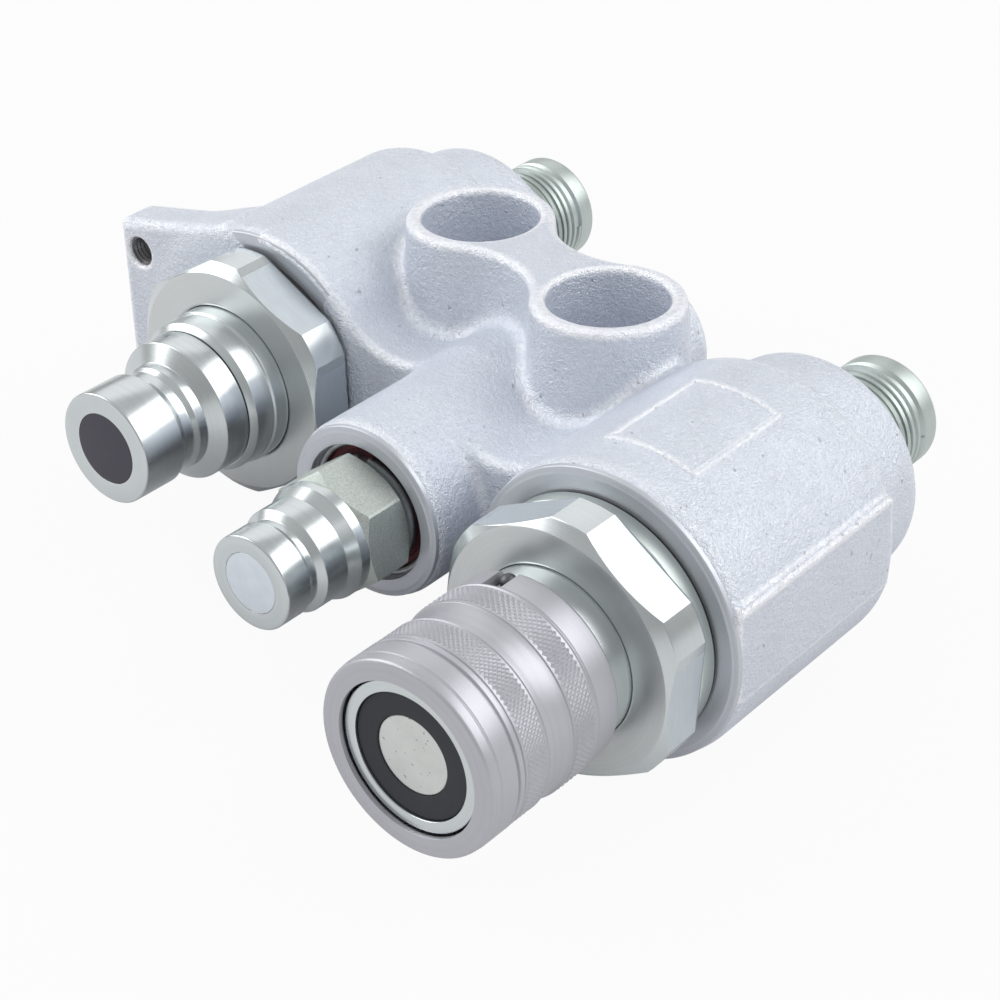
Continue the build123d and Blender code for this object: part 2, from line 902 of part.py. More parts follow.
# The case-drain nipple, one piece with its hexagon, screwed into the block
drain_throat = drain_face + drain_throat_start
drain_shank_end = drain_seat + drain_shank_length
drain_guide_front = drain_shank_end - guide_thickness - 2 * guide_ring_thickness
with BuildPart() as drain_nipple:
    with BuildSketch(across(drain_hex_front)):
        with Locations((drain_x, 0)):
            RegularPolygon(
                drain_hex_across_flats / 2,
                6,
                major_radius=False,
                rotation=drain_hex_turn,
            )
    extrude(amount=-drain_hex_length)
    corner = drain_hex_across_flats / sqrt(3)
    revolve(
        outline(
            drain_x,
            (0, drain_hex_front),
            (drain_neck_radius, drain_hex_front),
            (corner, drain_hex_front + drain_hex_chamfer),
            (corner, drain_hex_rear - drain_hex_chamfer),
            (drain_neck_radius, drain_hex_rear),
            (0, drain_hex_rear),
        ),
        axis=port(drain_x),
        mode=Mode.INTERSECT,
    )
    revolve(
        outline(
            drain_x,
            (0, drain_face),
            (drain_tip_radius - drain_tip_edge, drain_face),
            (drain_tip_radius, drain_face + drain_tip_edge),
            (drain_tip_radius, drain_face + drain_tip_length),
            (drain_groove_radius, drain_face + drain_groove_start),
            (drain_groove_radius, drain_face + drain_groove_end),
            (drain_collar_radius, drain_face + drain_collar_start),
            (drain_collar_radius, drain_face + drain_collar_end),
            (drain_neck_radius, drain_face + drain_neck_start),
            (drain_neck_radius, drain_hex_front + 1),
            (drain_neck_radius, drain_seat),
            (drain_shank_radius, drain_seat),
            (drain_shank_radius, drain_shank_end),
            (0, drain_shank_end),
        ),
        axis=port(drain_x),
    )
    revolve(
        outline(
            drain_x,
            (0, drain_face - 1),
            (drain_valve_radius + running_gap, drain_face - 1),
            (drain_valve_radius + running_gap, drain_face + drain_seat_length),
            (drain_throat_radius, drain_throat),
            (drain_throat_radius, drain_guide_front),
            (drain_guide_radius + running_gap, drain_guide_front),
            (drain_guide_radius + running_gap, drain_shank_end + cut_overlap),
            (0, drain_shank_end + cut_overlap),
        ),
        axis=port(drain_x),
        mode=Mode.SUBTRACT,
    )
    revolve(
        retaining_groove(
            drain_x,
            drain_guide_front + guide_thickness,
            drain_guide_radius + running_gap,
        ),
        axis=port(drain_x),
        mode=Mode.SUBTRACT,
    )
export(drain_nipple.part, "drain_nipple")

with BuildPart() as drain_valve:
    revolve(
        valve_outline(
            drain_x,
            drain_face,
            drain_valve_radius,
            drain_valve_head,
            drain_valve_stem,
            drain_guide_front + guide_thickness,
        ),
        axis=port(drain_x),
    )
export(drain_valve.part, "drain_valve")

with BuildPart() as drain_valve_guide:
    add(guide(drain_x, drain_guide_front, drain_guide_radius, drain_valve_stem))
export(drain_valve_guide.part, "drain_valve_guide")

with BuildPart() as drain_guide_ring:
    revolve(ring_outline(drain_x, drain_guide_front, drain_guide_radius), axis=port(drain_x))
export(drain_guide_ring.part, "drain_guide_ring")

with BuildPart() as drain_seal_ring:
    seal_front = drain_wire_place + drain_wire_radius + running_gap
    revolve(
        outline(
            drain_x,
            (drain_neck_radius + running_gap, seal_front),
            (drain_bore_radius - running_gap, seal_front),
            (drain_bore_radius - running_gap, seal_front + drain_seal_length),
            (drain_neck_radius + running_gap, seal_front + drain_seal_length),
        ),
        axis=port(drain_x),
    )
export(drain_seal_ring.part, "drain_seal_ring")

# A split wire ring, sprung into its groove in the drain bore
with BuildPart() as drain_wire_ring:
    with BuildSketch(along(drain_x)):
        with Locations((drain_wire_circle, drain_wire_place)):
            Circle(drain_wire_radius)
    revolve(axis=port(drain_x), revolution_arc=360 - drain_wire_split)
export(drain_wire_ring.part, "drain_wire_ring")

# The female cartridge: its body, the fixed centre stem and the sliding seal sleeve
female_seal = female_nut_face + cartridge_seal_place
stem_base = female_face + stem_base_place
ball_station = female_face + ball_setback
ball_circle = seal_sleeve_radius + seat_gap + ball_radius
sleeve_front = female_face - sleeve_lead
sleeve_rear = sleeve_front + sleeve_length
stop_direction = Vector(-sin(radians(notch_turn)), 0, cos(radians(notch_turn)))
stop_centre = Vector(female_x, sleeve_rear - stop_ball_place, 0) + stop_direction * (
    sleeve_radius - stop_ball_radius
)
with BuildPart() as female_body:
    revolve(
        outline(
            female_x,
            *cartridge_tail(
                (
                    (female_bore_radius, female_face),
                    (female_lip_radius - edge_break, female_face),
                    (female_lip_radius, female_face + edge_break),
                    (female_lip_radius, female_shoulder),
                    (cartridge_radius - edge_break, female_shoulder),
                    (cartridge_radius, female_shoulder + edge_break),
                ),
                female_shank_end,
            ),
            (cartridge_bore_radius, stem_base),
            (female_bore_radius, stem_base),
        ),
        axis=port(female_x),
    )
    revolve(seal_groove(female_x, female_seal), axis=port(female_x), mode=Mode.SUBTRACT)
    revolve(
        retaining_groove(female_x, stem_base + guide_thickness, cartridge_bore_radius),
        axis=port(female_x),
        mode=Mode.SUBTRACT,
    )
    for i in range(ball_count):
        turn = 360 * (i + 0.5) / ball_count
        outward = (sin(radians(turn)), 0, cos(radians(turn)))
        with BuildSketch(Plane(origin=(female_x, ball_station, 0), z_dir=outward)):
            Circle(ball_radius + running_gap)
        extrude(amount=cartridge_radius, mode=Mode.SUBTRACT)
    with Locations(stop_centre):
        Sphere(stop_ball_radius + running_gap, mode=Mode.SUBTRACT)
export(female_body.part, "female_body")

with BuildPart() as female_stem:
    add(guide(female_x, stem_base, guide_radius, stem_radius - 2 * running_gap))
    revolve(
        outline(
            female_x,
            (0, female_face + stem_head_setback),
            (stem_head_radius, female_face + stem_head_setback),
            (stem_head_radius, female_face + stem_head_setback + stem_head_length),
            (stem_radius, female_face + stem_head_setback + 2 * stem_head_length),
            (stem_radius, stem_base + guide_thickness),
            (0, stem_base + guide_thickness),
        ),
        axis=port(female_x),
    )
export(female_stem.part, "female_stem")

with BuildPart() as female_stem_ring:
    revolve(ring_outline(female_x, stem_base, guide_radius), axis=port(female_x))
export(female_stem_ring.part, "female_stem_ring")

with BuildPart() as seal_sleeve:
    sleeve_face = female_face + seal_sleeve_recess
    head_end = sleeve_face + seal_sleeve_head
    revolve(
        outline(
            female_x,
            (stem_head_radius + running_gap, sleeve_face),
            (seal_sleeve_radius - edge_break, sleeve_face),
            (seal_sleeve_radius, sleeve_face + edge_break),
            (seal_sleeve_radius, sleeve_face + seal_sleeve_length),
            (seal_sleeve_bore, sleeve_face + seal_sleeve_length),
            (seal_sleeve_bore, head_end),
            (stem_head_radius + running_gap, head_end),
        ),
        axis=port(female_x),
    )
export(seal_sleeve.part, "seal_sleeve")

with BuildPart() as locking_balls:
    for i in range(ball_count):
        turn = radians(360 * (i + 0.5) / ball_count)
        with Locations(
            (female_x + ball_circle * sin(turn), ball_station, ball_circle * cos(turn))
        ):
            Sphere(ball_radius)
export(locking_balls.part, "locking_balls")

with BuildPart() as sleeve_stop_ball:
    with Locations(stop_centre):
        Sphere(stop_ball_radius)
export(sleeve_stop_ball.part, "sleeve_stop_ball")

# The locking sleeve, with its two lines, its hollow waist and the notch over the stop ball
land_start = ball_station + ball_radius + seat_gap
with BuildPart() as locking_sleeve:
    with BuildSketch(along(female_x)) as section:
        with BuildLine():
            skirt_bore = cartridge_radius + 2 * running_gap
            front_rim = sleeve_radius - sleeve_front_edge
            Polyline(
                (front_rim, sleeve_front),
                (sleeve_lip_radius, sleeve_front),
                (sleeve_lip_radius, sleeve_front + sleeve_lip_thickness),
                (sleeve_recess_radius, sleeve_front + sleeve_lip_thickness),
                (sleeve_recess_radius, land_start),
                (sleeve_land_radius, land_start),
                (sleeve_land_radius, land_start + sleeve_land_length),
                (sleeve_spring_bore, land_start + sleeve_land_length),
                (sleeve_spring_bore, sleeve_rear - sleeve_skirt),
                (skirt_bore, sleeve_rear - sleeve_skirt),
                (skirt_bore, sleeve_rear),
                (sleeve_radius - sleeve_rear_edge, sleeve_rear),
            )
            RadiusArc(
                (sleeve_radius - sleeve_rear_edge, sleeve_rear),
                (sleeve_radius, sleeve_rear - sleeve_rear_edge),
                -sleeve_rear_edge,
            )
            Polyline(
                (sleeve_radius, sleeve_rear - sleeve_rear_edge),
                (sleeve_radius, sleeve_front + sleeve_step_end),
                (sleeve_step_radius, sleeve_front + sleeve_step_end),
                (sleeve_step_radius, sleeve_front + sleeve_waist_end),
            )
            ThreePointArc(
                (sleeve_step_radius, sleeve_front + sleeve_waist_end),
                (
                    sleeve_waist_radius,
                    sleeve_front + (sleeve_waist_start + sleeve_waist_end) / 2,
                ),
                (sleeve_radius, sleeve_front + sleeve_waist_start),
            )
            Line(
                (sleeve_radius, sleeve_front + sleeve_waist_start),
                (sleeve_radius, sleeve_front + sleeve_front_edge),
            )
            RadiusArc(
                (sleeve_radius, sleeve_front + sleeve_front_edge),
                (front_rim, sleeve_front),
                -sleeve_front_edge,
            )
        make_face()
        for place in sleeve_groove_places:
            with Locations((sleeve_radius, sleeve_front + place)):
                Rectangle(
                    2 * sleeve_groove_depth,
                    sleeve_groove_width,
                    mode=Mode.SUBTRACT,
                )
    revolve(axis=port(female_x))
    with BuildSketch(
        Plane(origin=(female_x, sleeve_rear, 0), x_dir=(0, 1, 0), z_dir=stop_direction)
    ):
        with Locations((notch_width / 2 - notch_depth, 0)):
            Circle(notch_width / 2)
            Rectangle(notch_depth, notch_width, align=(Align.MIN, Align.CENTER))
    extrude(amount=sleeve_step_radius + cut_overlap, mode=Mode.SUBTRACT)
export(locking_sleeve.part, "locking_sleeve")

# Seal rings that slide with the two cartridges
for name, x, place in (
    ("male_cartridge_seal", male_x, male_seal),
    ("female_cartridge_seal", female_x, female_seal),
):
    with BuildPart() as cartridge_seal:
        seal_radius = cartridge_radius - cartridge_seal_wire
        revolve(wire_section(x, seal_radius, place, cartridge_seal_wire), axis=port(x))
    export(cartridge_seal.part, name)

# Coil springs of square wire: port, coil radius, half wire, the two seats and the turns
springs = {
    "male_return_spring": (
        male_x,
        return_spring_radius,
        return_spring_wire,
        male_shank_end + seat_gap + flange_thickness,
        male_shank_end + chamber_depth,
        return_spring_turns,
    ),
    "female_return_spring": (
        female_x,
        return_spring_radius,
        return_spring_wire,
        female_shank_end + seat_gap + flange_thickness,
        female_shank_end + chamber_depth,
        return_spring_turns,
    ),
    "male_valve_spring": (
        male_x,
        male_valve_spring_radius,
        male_valve_spring_wire,
        male_valve_head,
        male_guide_place,
        male_valve_spring_turns,
    ),
    "drain_valve_spring": (
        drain_x,
        drain_valve_spring_radius,
        drain_valve_spring_wire,
        drain_face + drain_valve_head,
        drain_guide_front,
        drain_valve_spring_turns,
    ),
    "seal_sleeve_spring": (
        female_x,
        seal_spring_radius,
        seal_spring_wire,
        head_end,
        stem_base,
        seal_spring_turns,
    ),
    "locking_sleeve_spring": (
        female_x,
        sleeve_spring_radius,
        sleeve_spring_wire,
        land_start + sleeve_land_length,
        female_shoulder,
        sleeve_spring_turns,
    ),
}
for name, sizes in springs.items():
    corners = coil_points(*sizes)
    wire = sizes[2]
    with BuildPart() as coil_spring:
        with BuildLine() as centre_line:
            Polyline(*corners)
        heading = Vector(*corners[1]) - Vector(*corners[0])
        with BuildSketch(Plane(origin=corners[0], x_dir=(0, 1, 0), z_dir=heading)):
            Rectangle(2 * wire, 2 * wire)
        sweep(path=centre_line.wires()[0], transition=Transition.RIGHT)
    export(coil_spring.part, name)

# Hose fittings, screwed into the rear bosses
for name, x, boss_rear in (
    ("male_side_hose_fitting", male_x, male_boss_rear),
    ("female_side_hose_fitting", female_x, female_boss_rear),
):
    end = boss_rear + fitting_reach
    thread_start = end - fitting_thread_length
    hex_end = thread_start - fitting_neck_length
    with BuildPart() as hose_fitting:
        with BuildSketch(across(boss_rear)):
            with Locations((x, 0)):
                RegularPolygon(
                    fitting_hex_across_flats / 2,
                    6,
                    major_radius=False,
                    rotation=fitting_hex_turn,
                )
        extrude(amount=-(hex_end - boss_rear))
        revolve(
            outline(
                x,
                (0, boss_rear - fitting_shank_length),
                (fitting_shank_radius, boss_rear - fitting_shank_length),
                (fitting_shank_radius, boss_rear + cut_overlap),
                (fitting_neck_radius, boss_rear + cut_overlap),
                (fitting_neck_radius, thread_start),
                (fitting_thread_radius, thread_start),
                (fitting_thread_radius, end - fitting_thread_edge),
                (fitting_thread_radius - fitting_thread_edge, end),
                (0, end),
            ),
            axis=port(x),
        )
        revolve(
            outline(
                x,
                (0, boss_rear - fitting_shank_length - cut_overlap),
                (fitting_bore_radius, boss_rear - fitting_shank_length - cut_overlap),
                (fitting_bore_radius, end + cut_overlap),
                (0, end + cut_overlap),
            ),
            axis=port(x),
            mode=Mode.SUBTRACT,
        )
        groove_inner = fitting_face_groove_radius - fitting_face_groove_width / 2
        groove_outer = fitting_face_groove_radius + fitting_face_groove_width / 2
        revolve(
            outline(
                x,
                (groove_inner, end - fitting_face_groove_depth),
                (groove_outer, end - fitting_face_groove_depth),
                (groove_outer, end + cut_overlap),
                (groove_inner, end + cut_overlap),
            ),
            axis=port(x),
            mode=Mode.SUBTRACT,
        )
    export(hose_fitting.part, name)

with BuildPart() as fitting_seal_rings:
    for x, boss_rear in ((male_x, male_boss_rear), (female_x, female_boss_rear)):
        seal_centre = boss_rear - running_gap - fitting_seal_wire
        seal_radius = fitting_shank_radius + running_gap + fitting_seal_wire
        revolve(wire_section(x, seal_radius, seal_centre, fitting_seal_wire), axis=port(x))
export(fitting_seal_rings.part, "fitting_seal_rings")
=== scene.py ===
import math

import bmesh
import bpy
import numpy as np
from mathutils import Matrix, Vector


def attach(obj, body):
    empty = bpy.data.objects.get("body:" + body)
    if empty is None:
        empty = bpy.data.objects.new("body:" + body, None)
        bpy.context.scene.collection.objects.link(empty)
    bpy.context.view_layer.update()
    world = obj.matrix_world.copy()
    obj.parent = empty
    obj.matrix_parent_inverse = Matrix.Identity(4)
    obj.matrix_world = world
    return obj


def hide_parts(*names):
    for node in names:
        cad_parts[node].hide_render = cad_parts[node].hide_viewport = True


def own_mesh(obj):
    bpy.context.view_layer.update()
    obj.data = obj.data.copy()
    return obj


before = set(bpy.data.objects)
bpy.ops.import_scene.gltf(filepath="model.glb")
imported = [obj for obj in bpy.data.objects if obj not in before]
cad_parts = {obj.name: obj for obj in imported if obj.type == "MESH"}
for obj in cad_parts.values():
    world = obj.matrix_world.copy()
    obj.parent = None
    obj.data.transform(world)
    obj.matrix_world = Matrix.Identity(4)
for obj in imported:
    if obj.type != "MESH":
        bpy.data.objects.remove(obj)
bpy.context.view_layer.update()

# Quick-coupler block. Sizes are in millimetres and become metres when a mesh is made.
MM = 0.001
MALE_X, DRAIN_X, FEMALE_X = 0.0, 58.5, 117.0

# Stations along the ports
MALE_NUT_FACE, MALE_BLOCK_FACE, MALE_BARREL_REAR, MALE_BOSS_REAR = 35.7, 47.05, 103.75, 122.15
FEMALE_NUT_FACE, FEMALE_BLOCK_FACE, FEMALE_BARREL_REAR, FEMALE_BOSS_REAR = -0.8, 13.75, 66.55, 84.95
FEMALE_FACE = -39.64
DRAIN_FACE, DRAIN_BARREL_FRONT, DRAIN_BARREL_REAR, DRAIN_BOSS_REAR = -17.8, 13.8, 96.0, 108.0

# Casting
BARREL, REAR_BOSS, DRAIN_BARREL, DRAIN_BOSS, DRAIN_BORE = 30.3, 24.2, 18.8, 16.0, 14.6
DRAIN_PORT, NUT_BORE, CARTRIDGE_BORE = 6.45, 22.6, 19.6
BOSSES = ((35.2, 78.5), (79.6, 64.4))
BOSS_TOP, BOSS_RADIUS, POCKET_RADIUS, POCKET_FLOOR = 33.0, 15.7, 12.5, 15.5
NECK_BLEND, WEB_BLEND = 21.0, 18.6
FLAT_X, FLAT_TOP = 146.2, 11.5
EAR_HOLES = ((-37.4, 15.3), (-41.0, -19.5))
EAR_HOLE_RADIUS = 3.4


# Node trees

class Value:
    """A node's socket that takes part in arithmetic: each operator adds a Math node."""

    def __init__(self, graph, socket):
        self.graph = graph
        self.socket = socket

    def math(self, operation, *others):
        return self.graph.math(operation, self, *others)

    def __add__(self, other):
        return self.math("ADD", other)

    def __sub__(self, other):
        return self.math("SUBTRACT", other)

    def __mul__(self, other):
        return self.math("MULTIPLY", other)

    def __truediv__(self, other):
        return self.math("DIVIDE", other)

    def __pow__(self, other):
        return self.math("POWER", other)

    __radd__, __rmul__ = __add__, __mul__

    def __rsub__(self, other):
        return self.graph.math("SUBTRACT", other, self)

    def __rtruediv__(self, other):
        return self.graph.math("DIVIDE", other, self)

    def clamp(self):
        return self.math("MAXIMUM", 0.0).math("MINIMUM", 1.0)

    def step(self, low, high):
        """0 below low, 1 above high, and a smooth rise between."""
        return self.graph.node(
            "ShaderNodeMapRange",
            {"interpolation_type": "SMOOTHSTEP"},
            {"Value": self, "From Min": low, "From Max": high},
        )

    def part(self, name):
        """One output of a Separate XYZ node on this vector."""
        return self.graph.node("ShaderNodeSeparateXYZ", {}, {"Vector": self}, name)


class Graph:
    """A node tree whose nodes are added by node()."""

    def __init__(self, tree):
        self.tree = tree

    def node(self, kind, settings=None, values=None, output=0):
        """Adds a node: its settings first, then the values or links of its sockets."""
        made = self.tree.nodes.new(kind)
        for key, value in (settings or {}).items():
            setattr(made, key, value)
        for key, value in (values or {}).items():
            if isinstance(value, Value):
                self.tree.links.new(value.socket, made.inputs[key])
            else:
                made.inputs[key].default_value = value
        return Value(self, made.outputs[output])

    def math(self, operation, *terms):
        return self.node("ShaderNodeMath", {"operation": operation}, dict(enumerate(terms)))

    def vector(self, x, y, z):
        return self.node("ShaderNodeCombineXYZ", {}, {0: x, 1: y, 2: z})

    def rays(self):
        """Whether the ray comes from the camera, off a glossy surface or through a clear one."""
        names = ("Is Camera Ray", "Is Glossy Ray", "Is Transmission Ray")
        return [self.node("ShaderNodeLightPath", output=name) for name in names]


def shade(color, share):
    """A colour made lighter or darker."""
    return tuple(min(1.0, share * c) for c in color)


def tint(color):
    """A colour as a socket takes it; a link stays as it is."""
    return color if isinstance(color, Value) else (*color, 1.0)


class Finish(Graph):
    """A material with one Principled shader."""

    def __init__(self, name, color, roughness, metallic=0.0):
        self.material = bpy.data.materials.new(name)
        self.material.use_nodes = True
        super().__init__(self.material.node_tree)
        self.shader = self.tree.nodes["Principled BSDF"]
        self.set("Base Color", (*color, 1.0))
        self.set("Roughness", roughness)
        self.set("Metallic", metallic)
        self.place = self.node("ShaderNodeTexCoord", output="Object")

    def set(self, name, value):
        if isinstance(value, Value):
            self.tree.links.new(value.socket, self.shader.inputs[name])
        else:
            self.shader.inputs[name].default_value = value

    def noise(self, scale, detail=2.0, stretch=(1.0, 1.0, 1.0), place=None):
        """Noise of `scale` features per millimetre, stretched along an axis by a small factor."""
        vector = self.node(
            "ShaderNodeMapping",
            {"vector_type": "POINT"},
            {"Vector": place or self.place, "Scale": tuple(s * scale / MM for s in stretch)},
        )
        return self.node("ShaderNodeTexNoise", {}, {"Vector": vector, "Scale": 1.0, "Detail": detail})

    def cells(self, scale):
        """A random grey for each small cell, `scale` cells per millimetre."""
        vector = self.node(
            "ShaderNodeMapping", {}, {"Vector": self.place, "Scale": (scale / MM,) * 3}
        )
        tint = self.node("ShaderNodeTexVoronoi", {}, {"Vector": vector, "Scale": 1.0}, "Color")
        return tint.part("X")

    def around(self, x):
        """Radius and station about the port at x, as a vector for a turned pattern."""
        east = self.place.part("X") - x * MM
        up = self.place.part("Z")
        radius = (east * east + up * up) ** 0.5
        return self.vector(radius, self.place.part("Y"), 0.0)

    def mix(self, factor, first, second):
        """A colour between two others."""
        return self.node(
            "ShaderNodeMix",
            {"data_type": "RGBA"},
            {0: factor, 6: tint(first), 7: tint(second)},
            2,
        )

    def bump(self, height, distance, strength=1.0, normal=None):
        """A bump of `distance` millimetres, which may stand on another."""
        values = {"Height": height, "Distance": distance * MM, "Strength": strength}
        if normal is not None:
            values["Normal"] = normal
        return self.node("ShaderNodeBump", {}, values)


def silver_casting():
    """Silver paint on a casting: orange peel, fine grain and bright flakes, with painted shade in its
    pits and a painted highlight on rims and in fillets.
    """
    color = (0.71, 0.75, 0.83)
    f = Finish("silver_casting", color, 0.42, 0.68)
    peel = f.noise(1.0, 3.0)
    grain = f.noise(3.0, 2.0)
    swell = f.noise(0.09, 2.0)
    glitter = f.cells(3.4).step(0.80, 1.0)
    pits = f.noise(0.55, 1.0).step(0.75, 0.79)
    tone = (0.3 * swell + 0.3 * peel + 0.4 * grain).clamp()
    body = f.mix(tone, shade(color, 0.74), shade(color, 1.2))
    bend = f.node("ShaderNodeAttribute", {"attribute_name": "bend"}, {}, "Fac")
    # Rims and fillets, where the skin bends sharply, are painted lighter: a painted highlight
    edge_highlight = (bend + 0.5 * (peel - 0.5)).step(0.14, 0.72)
    body = f.mix(0.78 * edge_highlight, body, (0.94, 0.95, 0.98))
    body = f.mix(0.4 * glitter, body, (0.95, 0.95, 1.0))
    # The pits are painted darker: painted shade in them
    f.set("Base Color", f.mix(0.5 * pits, body, (0.30, 0.31, 0.34)))
    f.set("Roughness", (0.28 + 0.22 * grain).clamp())
    low = f.bump(swell, 0.5, 0.5)
    mid = f.bump(peel, 0.36, 1.0, low)
    f.set("Normal", f.bump(grain - 0.6 * pits, 0.32, 1.0, mid))
    return f.material


def machined_casting(name, x):
    """The painted but machined end faces of the barrels: smoother and greyer."""
    f = Finish(name, (0.56, 0.59, 0.63), 0.42, 0.75)
    rings = f.noise(3.0, 1.0, place=f.around(x))
    grain = f.noise(3.0, 2.0)
    tone = (0.5 * rings + 0.5 * grain).clamp()
    f.set("Base Color", f.mix(tone, (0.48, 0.505, 0.55), (0.66, 0.685, 0.735)))
    f.set("Normal", f.bump(grain, 0.05, 0.6, f.bump(rings, 0.03, 0.5)))
    return f.material


def turned_zinc(name, x, color, roughness, lines=2.5, depth=0.012):
    """Zinc plate on turned steel: fine rings about the port and a faint cloudiness."""
    f = Finish(name, color, roughness, 1.0)
    rings = f.noise(lines, 2.0, place=f.around(x))
    cloud = f.noise(0.12, 3.0)
    tone = (0.55 * rings + 0.45 * cloud).clamp()
    f.set("Base Color", f.mix(tone, shade(color, 0.86), shade(color, 1.08)))
    f.set("Roughness", (roughness - 0.06 + 0.12 * cloud).clamp())
    f.set("Normal", f.bump(rings, depth, 0.7))
    return f.material


def brushed_zinc(name, color, roughness):
    """Milled flats: scratches that run along each flat."""
    f = Finish(name, color, roughness, 1.0)
    scratches = f.noise(4.0, 3.0, (0.06, 1.0, 0.06))
    fine = f.noise(9.0, 2.0, (0.03, 1.0, 0.03))
    cloud = f.noise(0.10, 2.0)
    tone = (0.5 * scratches + 0.3 * fine + 0.2 * cloud).clamp()
    f.set("Base Color", f.mix(tone, shade(color, 0.72), shade(color, 1.18)))
    f.set("Roughness", (roughness - 0.1 + 0.25 * scratches).clamp())
    f.set("Normal", f.bump(fine, 0.01, 0.6, f.bump(scratches, 0.03, 0.7)))
    return f.material


def blasted_zinc():
    """The grainy grey-green hexagon of the drain nipple."""
    f = Finish("blasted_zinc", (0.42, 0.45, 0.43), 0.5, 0.85)
    grain = f.noise(3.2, 3.0)
    speck = f.cells(5.0)
    tone = (0.6 * grain + 0.4 * speck).clamp()
    f.set("Base Color", f.mix(tone, (0.35, 0.385, 0.365), (0.72, 0.77, 0.735)))
    f.set("Normal", f.bump(grain, 0.10, 0.9))
    return f.material


def flat_steel(name, color, roughness, speck_color, speck):
    """A ground valve face with tiny specks, which cover it by the share `speck`."""
    f = Finish(name, color, roughness, 0.7)
    cloud = f.noise(0.35, 3.0)
    specks = f.noise(1.3, 1.0).step(0.71, 0.76)
    body = f.mix(cloud, shade(color, 0.9), shade(color, 1.08))
    f.set("Base Color", f.mix(speck * specks, body, speck_color))
    f.set("Normal", f.bump(f.noise(3.0, 2.0), 0.01, 0.5))
    return f.material


def grey_sleeve():
    """Matte lavender-grey plating."""
    f = Finish("grey_sleeve", (0.49, 0.49, 0.53), 0.42, 0.75)
    rings = f.noise(2.2, 2.0, place=f.around(FEMALE_X))
    grain = f.noise(3.5, 2.0)
    cloud = f.noise(0.08, 2.0)
    tone = (0.4 * rings + 0.3 * grain + 0.3 * cloud).clamp()
    f.set("Base Color", f.mix(tone, (0.41, 0.412, 0.447), (0.58, 0.582, 0.626)))
    f.set("Roughness", (0.34 + 0.14 * grain).clamp())
    f.set("Normal", f.bump(grain, 0.02, 0.6, f.bump(rings, 0.015, 0.6)))
    return f.material


def rubber(name, color, x):
    """Moulded rubber with a faint bloom."""
    f = Finish(name, color, 0.5)
    bloom = f.noise(0.4, 3.0)
    rings = f.noise(1.5, 1.0, place=f.around(x))
    f.set("Base Color", f.mix(bloom, color, tuple(min(1, c * 2.0 + 0.01) for c in color)))
    f.set("Roughness", (0.56 + 0.2 * bloom).clamp())
    f.set("Normal", f.bump(rings, 0.02, 0.5))
    return f.material


def plain_steel():
    """Springs, rings, guides and balls inside the block."""
    f = Finish("plain_steel", (0.45, 0.45, 0.46), 0.3, 1.0)
    f.set("Base Color", f.mix(f.noise(0.5, 2.0), (0.36, 0.36, 0.37), (0.55, 0.55, 0.56)))
    f.set("Normal", f.bump(f.noise(3.0, 2.0), 0.01, 0.5))
    return f.material


# Mesh making

def finish_mesh(name, mesh, materials, body, replaced, sharp=32):
    """Shades a mesh, gives it its finishes and ties it to its body and CAD nodes."""
    mesh.name = name
    piece = bpy.data.objects.new(name, mesh)
    bpy.context.scene.collection.objects.link(piece)
    mesh.shade_smooth()
    mesh.set_sharp_from_angle(angle=math.radians(sharp))
    while len(mesh.materials) < len(materials):
        mesh.materials.append(materials[len(mesh.materials)])
    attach(piece, body)
    if replaced:
        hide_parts(*replaced)
    return piece


def soften(loop, closed=True):
    """Rounds the corners of a (radius, station, rounding) outline with short arcs."""
    points = [(p[0], p[1], p[2] if len(p) > 2 else 0.12) for p in loop]
    count = len(points)
    smooth = []
    for i, (r, y, rounding) in enumerate(points):
        corner = Vector((r, y))
        if not closed and i in (0, count - 1):
            smooth.append(corner)
            continue
        before = Vector(points[i - 1][:2]) - corner
        after = Vector(points[(i + 1) % count][:2]) - corner
        turn = before.angle(after)
        if rounding <= 0 or r <= 0 or turn > math.radians(176):
            smooth.append(corner)
            continue
        reach = min(rounding / math.tan(turn / 2), 0.45 * before.length, 0.45 * after.length)
        start = corner + before.normalized() * reach
        end = corner + after.normalized() * reach
        for t in (0.0, 0.25, 0.5, 0.75, 1.0):
            smooth.append(start * (1 - t) ** 2 + corner * 2 * t * (1 - t) + end * t * t)
    return smooth


def turned_mesh(x, outline, angles, closed=True, pick=None):
    """Turns an outline about the port at x. outline(angle) may change with the angle."""
    shape = bmesh.new()
    columns = []
    for angle in angles:
        sine, cosine = math.sin(angle), math.cos(angle)
        columns.append(
            [
                shape.verts.new(((x + p[0] * sine) * MM, p[1] * MM, p[0] * cosine * MM))
                for p in outline(angle)
            ]
        )
    rows = len(columns[0])
    for i, column in enumerate(columns):
        following = columns[(i + 1) % len(columns)]
        for j in range(rows if closed else rows - 1):
            k = (j + 1) % rows
            face = shape.faces.new((column[j], column[k], following[k], following[j]))
            if pick:
                face.material_index = pick(column[j].co, column[k].co)
    bmesh.ops.remove_doubles(shape, verts=shape.verts, dist=1e-7)
    bmesh.ops.dissolve_degenerate(shape, edges=shape.edges, dist=1e-8)
    bmesh.ops.recalc_face_normals(shape, faces=shape.faces)
    mesh = bpy.data.meshes.new("turned")
    shape.to_mesh(mesh)
    shape.free()
    return mesh


def full_turn(steps):
    """Even angles all the way round."""
    return [2 * math.pi * i / steps for i in range(steps)]


def turned(name, x, loop, materials, body, replaced, closed=True):
    """A turned piece with softened corners."""
    points = soften(loop, closed)
    mesh = turned_mesh(x, lambda angle: points, full_turn(160), closed)
    return finish_mesh(name, mesh, materials, body, replaced)


# The casting

def circle(u, v, centre, radius):
    """Distance to a circle, or to the cylinder that it stands for."""
    return np.hypot(u - centre[0], v - centre[1]) - radius


